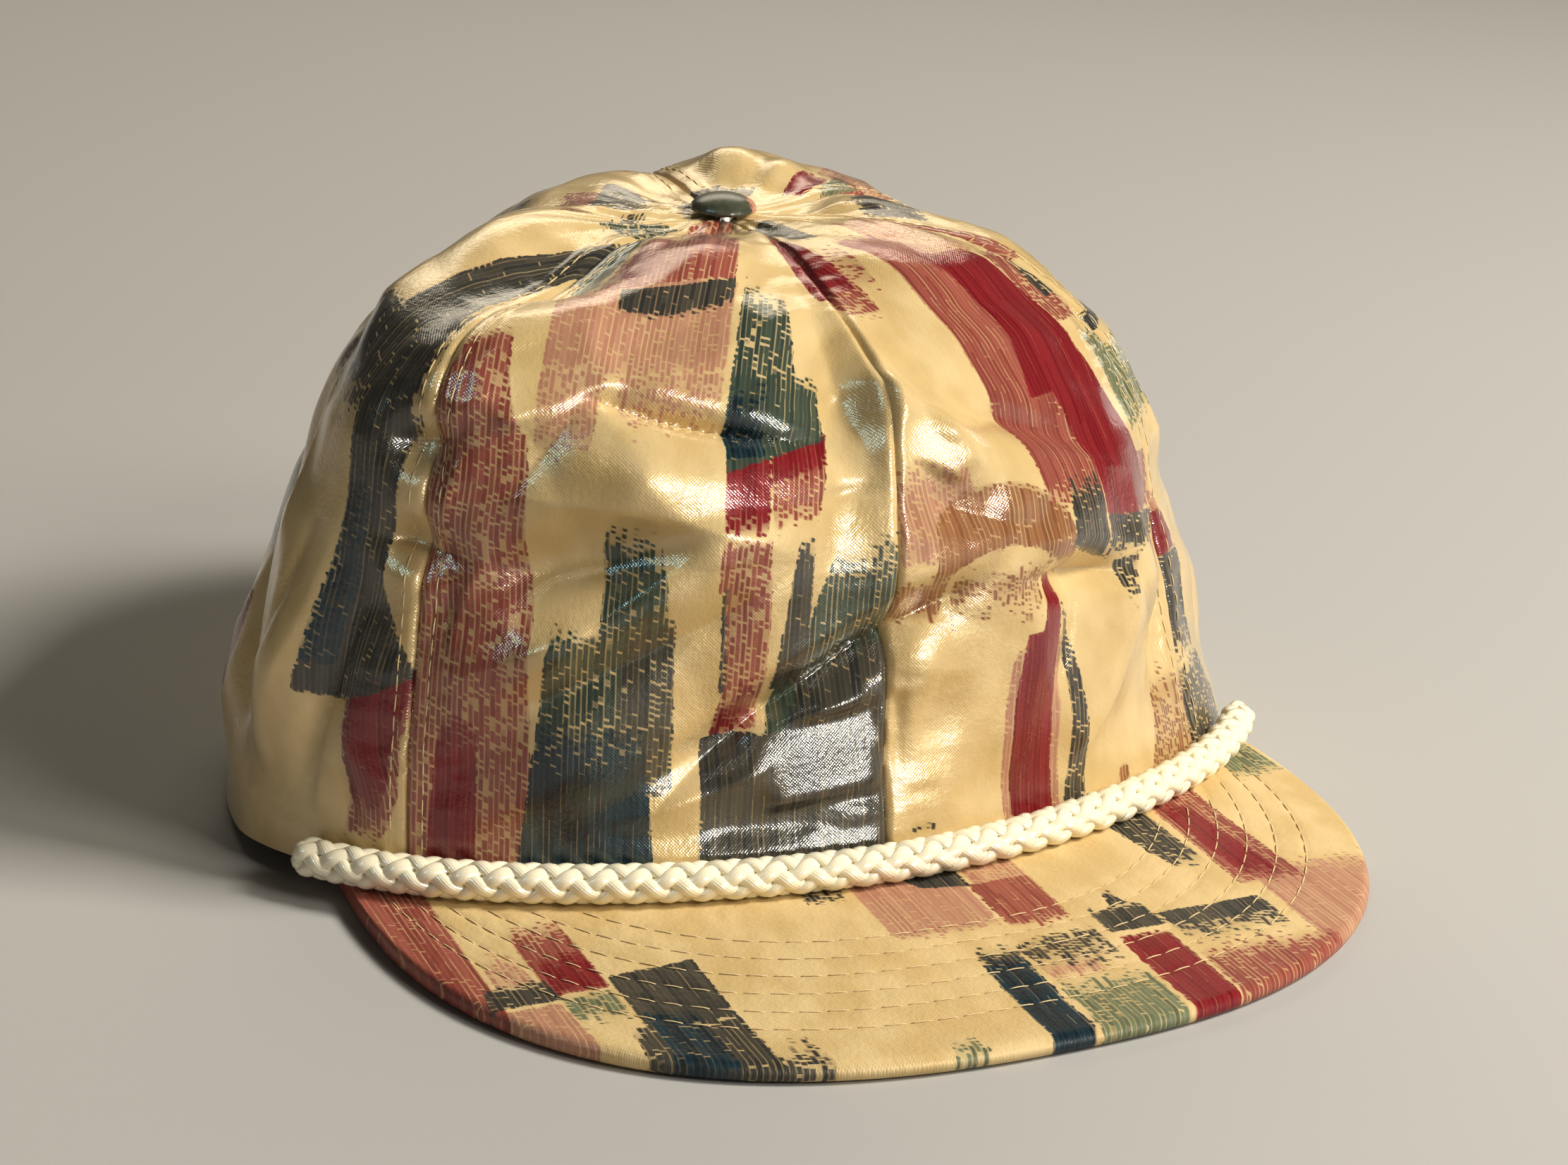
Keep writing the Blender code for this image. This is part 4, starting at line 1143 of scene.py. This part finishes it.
def stitch_row(line, normals, stitch, gap):
    """Rounded stitches that follow a line, their ends sunk in the cloth."""
    reach = reach_along(line)
    points = []
    faces = []
    ring_angles = np.arange(STITCH_SIDES) * 2 * math.pi / STITCH_SIDES
    sides = [(side, (side + 1) % STITCH_SIDES) for side in range(STITCH_SIDES)]
    for number in range(int((reach[-1] - gap) / (stitch + gap))):
        first = len(points)
        start = gap + number * (stitch + gap)
        stations = start + stitch * np.linspace(0, 1, STITCH_RINGS)
        centre = sampled(stations, reach, line)
        normal = unit(sampled(stations, reach, normals))
        beside = np.cross(unit(np.gradient(centre, axis=0)), normal)
        for ring in range(STITCH_RINGS):
            part = ring / (STITCH_RINGS - 1)
            swell = math.sin(math.pi * (STITCH_ARC[0] + STITCH_ARC[1] * part))
            rise = STITCH_THICKNESS * (STITCH_RISE[0] + STITCH_RISE[1] * swell)
            half = STITCH_THICKNESS / 2 * (STITCH_HALF[0] + STITCH_HALF[1] * swell)
            middle = centre[ring] + normal[ring] * rise
            for angle in ring_angles:
                upwards = normal[ring] * math.sin(angle) * STITCH_FLATNESS
                points.append(middle + (beside[ring] * math.cos(angle) + upwards) * half)
        for low in range(first, len(points) - STITCH_SIDES, STITCH_SIDES):
            high = low + STITCH_SIDES
            faces += [(low + side, low + after, high + after, high + side) for side, after in sides]
        last = len(points) - STITCH_SIDES
        tip = len(points)
        for end in (0, -1):
            points.append(centre[end] - normal[end] * STITCH_THICKNESS * STITCH_TIP_SINK)
        for side, after in sides:
            faces.append((first + after, first + side, tip))
            faces.append((last + side, last + after, tip + 1))
    return points, faces


def stitch_piece(name, rows, stitch, gap):
    points = []
    faces = []
    for line, normals in rows:
        row_points, row_faces = stitch_row(line, normals, stitch, gap)
        first = len(points)
        points += row_points
        faces += [tuple(first + corner for corner in face) for face in row_faces]
    mesh = bpy.data.meshes.new(name)
    mesh.from_pydata([tuple(point) for point in points], [], faces)
    mesh.materials.append(sewing_thread)
    mesh.shade_smooth()
    piece = bpy.data.objects.new(name, mesh)
    bpy.context.scene.collection.objects.link(piece)
    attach(piece, "root")


def skin_normals(grid):
    normals = np.cross(np.gradient(grid, axis=1), np.gradient(grid, axis=0))
    return normals / np.maximum(np.linalg.norm(normals, axis=2, keepdims=True), 1e-12)


def seam_stitch_lines():
    """Lines beside every seam but the plain one at the front."""
    lines = []
    for panel, (skin, from_left) in panel_skins.items():
        facing = skin_normals(skin)
        first, last = (int(share * len(skin)) for share in SEAM_STITCH_LEVELS)
        used = [row for row in range(first, last) if from_left[row, -1] >= 4 * STITCH_INSET]
        for from_right in (False, True):
            if PANELS[panel][from_right] == PLAIN_SEAM:
                continue
            line = []
            normals = []
            for row in used:
                place = [from_left[row, -1] - STITCH_INSET if from_right else STITCH_INSET]
                line.append(sampled(place, from_left[row], skin[row])[0])
                normals.append(sampled(place, from_left[row], facing[row])[0])
            lines.append((np.array(line), np.array(normals)))
    return lines


stitch_piece("crown_topstitching", seam_stitch_lines(), CROWN_STITCH, CROWN_STITCH_GAP)


# The brim: columns and rows of its mesh
BRIM_COLUMNS = 330
BRIM_ROWS = 92
BRIM_EDGE_STEPS = 9
BRIM_UNDER_ROWS = 14

# The brim's stitched rows and the quilting between them, in millimetres
BRIM_ROW_FIRST = 11.8
BRIM_ROW_SPACING = 5.7
BRIM_ROW_COUNT = 6
BRIM_ROW_SPREAD = 0.28
BRIM_ROW_GROOVE = 0.22
BRIM_GROOVE_WIDTH = 0.8
BRIM_PUCKER = 0.07
BRIM_PUCKER_SIZE = 5.0
BRIM_PUCKER_TURN = 1.1
BRIM_PUCKER_SHIFT = (30, 90)
BRIM_PUCKER_SEED = 5
BRIM_PLAIN_EDGE = 3.0
BRIM_STITCH_STEPS = 1200
BRIM_STITCH_SINK = 0.7
BRIM_STITCH_CLEAR = 0.9
BRIM_LEAST_POINTS = 20


def find_brim_end():
    corner_y = float(hem_outline(np.array([ROPE_END_TURN]))[1][0])
    forward = (BRIM_FRONT_Y + BRIM_ROUND_LENGTH - corner_y) / BRIM_ROUND_LENGTH
    return math.degrees(math.acos(float(signed_power(forward, BRIM_POWER / 2))))


BRIM_END_SWING = find_brim_end()


def brim_spans(turns):
    """Tucked edge, outward way and span of the brim at each turn."""
    hem = np.stack(hem_outline(turns), axis=1)
    tucked = hem + unit(np.array([BUTTON_X, BUTTON_Y]) - hem) * BRIM_TUCK
    edge = np.stack(brim_outline(turns * BRIM_END_SWING / ROPE_END_TURN), axis=1)
    span = np.linalg.norm(edge - tucked, axis=1)
    return tucked, (edge - tucked) / span[:, None], span


def stitched_rows(turns):
    """Distance of each stitched row from the brim's edge, in metres."""
    spread = 1 + BRIM_ROW_SPREAD * np.sin(np.radians(turns)) ** 2
    return [(BRIM_ROW_FIRST + BRIM_ROW_SPACING * row) * MM * spread for row in range(BRIM_ROW_COUNT)]


def brim_relief(to_edge, turns):
    groove = np.zeros(to_edge.shape)
    for row in stitched_rows(turns):
        groove -= BRIM_ROW_GROOVE * np.exp(-((to_edge - row) / (BRIM_GROOVE_WIDTH * MM)) ** 2)
    inwards = to_edge / (BRIM_PUCKER_SIZE * MM) + BRIM_PUCKER_SHIFT[0]
    aside = turns / BRIM_PUCKER_TURN + BRIM_PUCKER_SHIFT[1]
    quilt = BRIM_PUCKER * soft_noise(inwards, aside, BRIM_PUCKER_SEED)
    return (groove + quilt) * smooth_step(to_edge / (BRIM_PLAIN_EDGE * MM)) * MM


def make_brim():
    turns = np.linspace(-ROPE_END_TURN, ROPE_END_TURN, BRIM_COLUMNS + 1)
    tucked, way, span = brim_spans(turns)
    radius = BRIM_THICKNESS / 2
    loops = []
    for share in np.linspace(0, 1, BRIM_ROWS + 1):
        reach = (span - radius) * share
        place = tucked + way * reach[:, None]
        rise = brim_relief(span - reach, turns)
        loops.append(np.column_stack([place, brim_top(place[:, 0], place[:, 1]) + rise]))
    for step in range(1, BRIM_EDGE_STEPS):
        angle = math.pi / 2 - math.pi * step / BRIM_EDGE_STEPS
        place = tucked + way * (span - radius + radius * math.cos(angle))[:, None]
        under = brim_underside(place[:, 0], place[:, 1])
        loops.append(np.column_stack([place, under + radius + radius * math.sin(angle)]))
    for share in np.linspace(1, 0, BRIM_UNDER_ROWS + 1):
        place = tucked + way * ((span - radius) * share)[:, None]
        loops.append(np.column_stack([place, brim_underside(place[:, 0], place[:, 1])]))
    size = len(loops)
    points = np.stack(loops, axis=1).reshape(-1, 3)
    column = np.arange(BRIM_COLUMNS)[:, None] * size
    here = (column + np.arange(size)).ravel()
    after = (column + (np.arange(size) + 1) % size).ravel()
    quads = np.stack([here, after, after + size, here + size], axis=1)
    seen = np.tile(np.arange(size) < BRIM_ROWS + BRIM_EDGE_STEPS, BRIM_COLUMNS)
    caps = np.concatenate([cap_quads(0, size, True), cap_quads(BRIM_COLUMNS * size, size)])
    quads = np.concatenate([quads, caps])
    kinds = np.concatenate([np.where(seen, 0, 1), np.ones(len(caps))])
    places = points[:, :2] / MM / CLOTH_UNIT
    cover = ink_cover(places[:, 0] * CLOTH_UNIT, places[:, 1] * CLOTH_UNIT, STROKES["brim"])
    piece = mesh_piece("brim_cover", points, quads, [brim_cloth, cloth_reverse], kinds, places, cover)
    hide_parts("brim")
    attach(piece, "root")


make_brim()


def brim_stitch_lines():
    turns = np.linspace(-ROPE_END_TURN, ROPE_END_TURN, BRIM_STITCH_STEPS + 1)
    tucked, way, span = brim_spans(turns)
    lines = []
    for row in stitched_rows(turns):
        reach = span - row
        clear = reach > BRIM_TUCK + ROPE_DIAMETER * BRIM_STITCH_CLEAR
        place = (tucked + way * reach[:, None])[clear]
        if len(place) < BRIM_LEAST_POINTS:
            continue
        height = brim_top(place[:, 0], place[:, 1]) - BRIM_ROW_GROOVE * MM * BRIM_STITCH_SINK
        normals = np.tile([0.0, 0.0, 1.0], (len(place), 1))
        lines.append((np.column_stack([place, height]), normals))
    return lines


stitch_piece("brim_stitching", brim_stitch_lines(), BRIM_STITCH, BRIM_STITCH_GAP)

# The plaited rope, in metres
ROPE_STRANDS = 4
ROPE_PITCH = 0.0236
ROPE_STEP = 0.0006
ROPE_LINE_POINTS = 1600
STRAND_HALF_WIDTH = 0.00148
STRAND_HALF_THICKNESS = 0.00100
STRAND_SIDES = 10
ROPE_CORE_RADIUS = 0.00236
ROPE_WEAVE = 0.00040
ROPE_TIP = 0.0024
ROPE_TIP_LEAST = 0.02
YARN_UNIT = 0.01


def rope_line():
    """Points along the rope's middle, and their distance from its end."""
    turns = np.linspace(-ROPE_END_TURN, ROPE_END_TURN, ROPE_LINE_POINTS)
    x, y = hem_outline(turns)
    way = unit(np.stack([np.gradient(x), np.gradient(y)], axis=1))
    off_wall = ROPE_DIAMETER / 2 + FIT_GAP
    place = np.stack([x + way[:, 1] * off_wall, y - way[:, 0] * off_wall], axis=1)
    line = np.column_stack([place, brim_top(place[:, 0], place[:, 1]) + off_wall])
    reach = reach_along(line)
    stations = np.arange(0, reach[-1], ROPE_STEP)
    return stations, sampled(stations, reach, line)


def strand_quads(first, rings):
    """Faces of one strand, closed at both ends."""
    ring = np.arange(rings - 1)[:, None] * STRAND_SIDES + first
    side = np.arange(STRAND_SIDES)
    low = (ring + side).ravel()
    after = (ring + (side + 1) % STRAND_SIDES).ravel()
    skin = np.stack([after, low, low + STRAND_SIDES, after + STRAND_SIDES], axis=1)
    last = first + (rings - 1) * STRAND_SIDES
    return np.concatenate([skin, cap_quads(first, STRAND_SIDES), cap_quads(last, STRAND_SIDES, True)])


def make_rope():
    stations, line = rope_line()
    along = unit(np.gradient(line, axis=0))
    up = unit(np.array([0.0, 0.0, 1.0]) - along * along[:, 2:3])
    out = np.cross(along, up)
    to_end = np.minimum(stations, stations[-1] - stations)
    tip = 1 - np.clip(to_end / ROPE_TIP, 0, 1)
    draw_in = np.sqrt(np.clip(1 - tip ** 2, ROPE_TIP_LEAST, 1))
    pinch = draw_in[:, None, None]
    ring_angles = np.arange(STRAND_SIDES) * 2 * math.pi / STRAND_SIDES
    ring_wide = (np.cos(ring_angles) * STRAND_HALF_WIDTH)[:, None]
    ring_thick = (np.sin(ring_angles) * STRAND_HALF_THICKNESS)[:, None]
    points = []
    quads = []
    for hand in (1, -1):
        for strand in range(ROPE_STRANDS):
            angle = hand * 2 * math.pi * stations / ROPE_PITCH + 2 * math.pi * strand / ROPE_STRANDS
            weave = hand * ROPE_WEAVE * np.cos(2 * ROPE_STRANDS * math.pi * stations / ROPE_PITCH)
            radius = (ROPE_CORE_RADIUS + weave) * draw_in
            outwards = up * np.cos(angle)[:, None] + out * np.sin(angle)[:, None]
            centre = line + outwards * radius[:, None]
            way = unit(np.gradient(centre, axis=0))
            beside = unit(np.cross(way, outwards))
            over = np.cross(beside, way)
            rings = centre[:, None] + beside[:, None] * ring_wide * pinch
            rings = rings + over[:, None] * ring_thick * pinch
            quads.append(strand_quads(len(points) * len(stations) * STRAND_SIDES, len(stations)))
            points.append(rings.reshape(-1, 3))
    spread = np.tile(np.abs(ring_angles / math.pi - 1), len(stations))
    place = np.stack([spread, np.repeat(stations / YARN_UNIT, STRAND_SIDES)], axis=1)
    piece = mesh_piece("rope_plait", np.concatenate(points), np.concatenate(quads), [braided_cord],
                       cloth_places=np.tile(place, (2 * ROPE_STRANDS, 1)))
    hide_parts("rope_braid")
    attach(piece, "root")


make_rope()

# The button: its mesh, its waist above the seat, how far its edge is drawn under, its gathers
BUTTON_SIDES = 64
BUTTON_RINGS = 32
BUTTON_WAIST = 0.0012
BUTTON_UNDER_DEPTH = 0.0031
BUTTON_UNDER_SHARE = 0.36
GATHER_RISE = 0.012
GATHER_COUNT = 17
GATHER_SWAY = 5
GATHER_POWER = 4

# The rivet: its disc, its stem and the rounding of its edges
RIVET_SIDES = 40
RIVET_RADIUS = 0.0052
RIVET_THICKNESS = 0.0008
RIVET_INSET = 0.0027
RIVET_STEM = 0.0022
RIVET_ROUNDING = 0.00018
RIVET_SHARP_ANGLE = 40


def make_button():
    """A domed cover with its edge drawn under."""
    radius = BUTTON_DIAMETER / 2
    waist = CROWN_TOP + FIT_GAP + BUTTON_WAIST
    middle = (BUTTON_X, BUTTON_Y, waist)
    deselect()
    bpy.ops.mesh.primitive_uv_sphere_add(segments=BUTTON_SIDES, ring_count=BUTTON_RINGS,
                                         radius=radius, location=middle)
    cover = bpy.context.active_object
    bpy.ops.object.mode_set(mode="EDIT")
    bpy.ops.transform.resize(value=(1, 1, (BUTTON_HEIGHT - BUTTON_WAIST) / radius),
                             center_override=middle)
    bpy.ops.object.mode_set(mode="OBJECT")
    bpy.ops.object.transform_apply(location=True, rotation=True, scale=True)
    work = bmesh.new()
    work.from_mesh(cover.data)
    for vertex in work.verts:
        x = vertex.co.x - BUTTON_X
        y = vertex.co.y - BUTTON_Y
        angle = math.atan2(y, x)
        drop = max(0.0, (waist - vertex.co.z) / BUTTON_UNDER_DEPTH)
        wave = math.sin(angle * GATHER_COUNT + math.sin(angle * GATHER_SWAY))
        reach = math.hypot(x, y) / radius
        gather = 1 + GATHER_RISE * reach ** GATHER_POWER * wave * (1 + drop)
        vertex.co.x = BUTTON_X + x * gather
        vertex.co.y = BUTTON_Y + y * gather
        if vertex.co.z < waist:
            vertex.co.z = waist - (waist - vertex.co.z) * BUTTON_UNDER_SHARE
    work.to_mesh(cover.data)
    work.free()
    cover.name = "button_cover"
    cover.data.materials.append(button_finish())
    cover.data.shade_smooth()
    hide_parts("button")
    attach(cover, "root")


def make_rivet():
    """The disc and stem inside the crown that hold the button."""
    disc_top = CROWN_TOP - WALL - FIT_GAP
    deselect()
    middle = (BUTTON_X, BUTTON_Y, disc_top - RIVET_THICKNESS / 2)
    bpy.ops.mesh.primitive_cylinder_add(vertices=RIVET_SIDES, radius=RIVET_RADIUS,
                                        depth=RIVET_THICKNESS, location=middle)
    rivet = bpy.context.active_object
    bpy.ops.object.mode_set(mode="EDIT")
    bpy.ops.mesh.select_all(action="DESELECT")
    work = bmesh.from_edit_mesh(rivet.data)
    for face in work.faces:
        face.select = face.normal.z > 0.9
    bmesh.update_edit_mesh(rivet.data)
    bpy.ops.mesh.inset(thickness=RIVET_INSET)
    bpy.ops.mesh.extrude_region_move(TRANSFORM_OT_translate={"value": (0, 0, RIVET_STEM)})
    bpy.ops.object.mode_set(mode="OBJECT")
    bpy.ops.object.transform_apply(location=True, rotation=True, scale=True)
    edges = rivet.modifiers.new("rounded", "BEVEL")
    edges.width = RIVET_ROUNDING
    edges.segments = 2
    bpy.ops.object.modifier_apply(modifier=edges.name)
    rivet.name = "button_rivet"
    rivet.data.materials.append(rivet_finish())
    rivet.data.shade_smooth()
    rivet.data.set_sharp_from_angle(angle=math.radians(RIVET_SHARP_ANGLE))
    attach(rivet, "root")


make_button()
make_rivet()

# Stage, lights and camera
STAGE_RADIUS = 3.0
STAGE_HEIGHT = 3.0
STAGE_SIDES = 96
STAGE_DROP = 0.0002


def make_stage():
    deselect()
    bpy.ops.mesh.primitive_circle_add(vertices=STAGE_SIDES, radius=STAGE_RADIUS, fill_type="NGON",
                                      location=(0, 0, -STAGE_DROP))
    floor = bpy.context.active_object
    floor.name = "floor"
    bpy.ops.object.transform_apply(location=True, rotation=True, scale=True)
    floor.data.materials.append(stage_finish("floor_paint", FLOOR_TONES, 0.9))
    deselect()
    bpy.ops.mesh.primitive_cylinder_add(vertices=STAGE_SIDES, radius=STAGE_RADIUS,
                                        depth=STAGE_HEIGHT, end_fill_type="NOTHING",
                                        location=(0, 0, STAGE_HEIGHT / 2 - STAGE_DROP))
    wall = bpy.context.active_object
    wall.name = "backdrop"
    bpy.ops.object.mode_set(mode="EDIT")
    bpy.ops.mesh.select_all(action="SELECT")
    bpy.ops.mesh.flip_normals()
    bpy.ops.object.mode_set(mode="OBJECT")
    bpy.ops.object.transform_apply(location=True, rotation=True, scale=True)
    wall.data.materials.append(stage_finish("backdrop_paint", BACKDROP_TONES, 0.8))
    wall.data.shade_smooth()


# Lights: bearing from the front towards +X and height in degrees, distance, width and height
# in metres, power in watts, tint, whether it shades the cloth and whether it shows in its gloss
LIGHTS = {
    "window_key": (56.0, 43.0, 1.60, 0.40, 0.40, 35.0, (1.0, 0.94, 0.84), True, False),
    "front_fill": (30.0, 34.0, 1.70, 0.45, 0.40, 10.0, (1.0, 0.93, 0.82), True, False),
    "back_wall": (163.0, 38.0, 1.50, 1.20, 0.45, 7.0, (1.0, 0.89, 0.70), True, True),
    "front_window": (12.0, 7.5, 1.70, 0.24, 0.20, 27.0, (1.0, 0.96, 0.86), False, True),
    "left_window": (-77.0, 32.0, 1.50, 0.12, 0.30, 3.5, (0.50, 0.86, 1.0), False, True),
    "room_lamp": (-41.0, 40.0, 1.60, 0.08, 0.16, 1.0, (1.0, 0.93, 0.80), False, True),
    "door": (119.0, 4.0, 1.60, 0.06, 0.16, 0.5, (1.0, 0.95, 0.86), False, True),
}
AIM = Vector((0, 0, 0.05))
ROOM_TINT = (0.92, 0.92, 0.92, 1.0)
ROOM_POWER = 0.01


def make_light(name):
    bearing, height, distance, wide, tall, power, tint, shades, gleams = LIGHTS[name]
    lamp = bpy.data.lights.new(name, "AREA")
    lamp.shape = "RECTANGLE"
    lamp.size = wide
    lamp.size_y = tall
    lamp.energy = power
    lamp.color = tint
    offset = Vector(pointing(bearing, height)) * distance
    holder = bpy.data.objects.new(name, lamp)
    holder.location = AIM + offset
    holder.rotation_euler = (-offset).to_track_quat("-Z", "Y").to_euler()
    holder.visible_camera = False
    holder.visible_diffuse = shades
    holder.visible_glossy = gleams
    bpy.context.scene.collection.objects.link(holder)


make_stage()
for light_name in LIGHTS:
    make_light(light_name)

world = bpy.data.worlds.new("soft_room")
world.use_nodes = True
world.node_tree.nodes["Background"].inputs["Color"].default_value = ROOM_TINT
world.node_tree.nodes["Background"].inputs["Strength"].default_value = ROOM_POWER
bpy.context.scene.world = world
bpy.context.scene.view_settings.view_transform = "Standard"

# The photograph's camera: bearing, height and roll in degrees, distance to the middle of the
# hem in metres, focal length in pixels of a picture 2224 wide, aim off the middle in radians
PHOTO_WIDTH = 2224
CAMERA_BEARING = -24.66
CAMERA_HEIGHT = 24.01
CAMERA_ROLL = 2.316
CAMERA_DISTANCE = 0.5891
CAMERA_FOCAL = 4221.0
CAMERA_AIM_RIGHT = 0.01059
CAMERA_AIM_UP = 0.06242
SENSOR_WIDTH = 36.0


def make_camera():
    back = Vector(pointing(CAMERA_BEARING, CAMERA_HEIGHT))
    forward = -back
    level_right = forward.cross(Vector((0, 0, 1))).normalized()
    level_up = level_right.cross(forward)
    roll = math.radians(CAMERA_ROLL)
    right = level_right * math.cos(roll) + level_up * math.sin(roll)
    up = level_up * math.cos(roll) - level_right * math.sin(roll)
    aim = (forward * math.cos(CAMERA_AIM_RIGHT) * math.cos(CAMERA_AIM_UP)
           + right * math.sin(CAMERA_AIM_RIGHT) + up * math.sin(CAMERA_AIM_UP)).normalized()
    right = (right - aim * right.dot(aim)).normalized()
    up = right.cross(aim)
    lens = bpy.data.cameras.new("photo_camera")
    lens.sensor_width = SENSOR_WIDTH
    lens.lens = CAMERA_FOCAL / PHOTO_WIDTH * SENSOR_WIDTH
    lens.clip_start = 0.01
    camera = bpy.data.objects.new("photo_camera", lens)
    turned = Matrix((right, up, -aim)).transposed().to_4x4()
    place = back * CAMERA_DISTANCE + Vector((0, HEM_CENTRE_Y, 0))
    camera.matrix_world = Matrix.Translation(place) @ turned
    bpy.context.scene.collection.objects.link(camera)
    bpy.context.scene.camera = camera


make_camera()
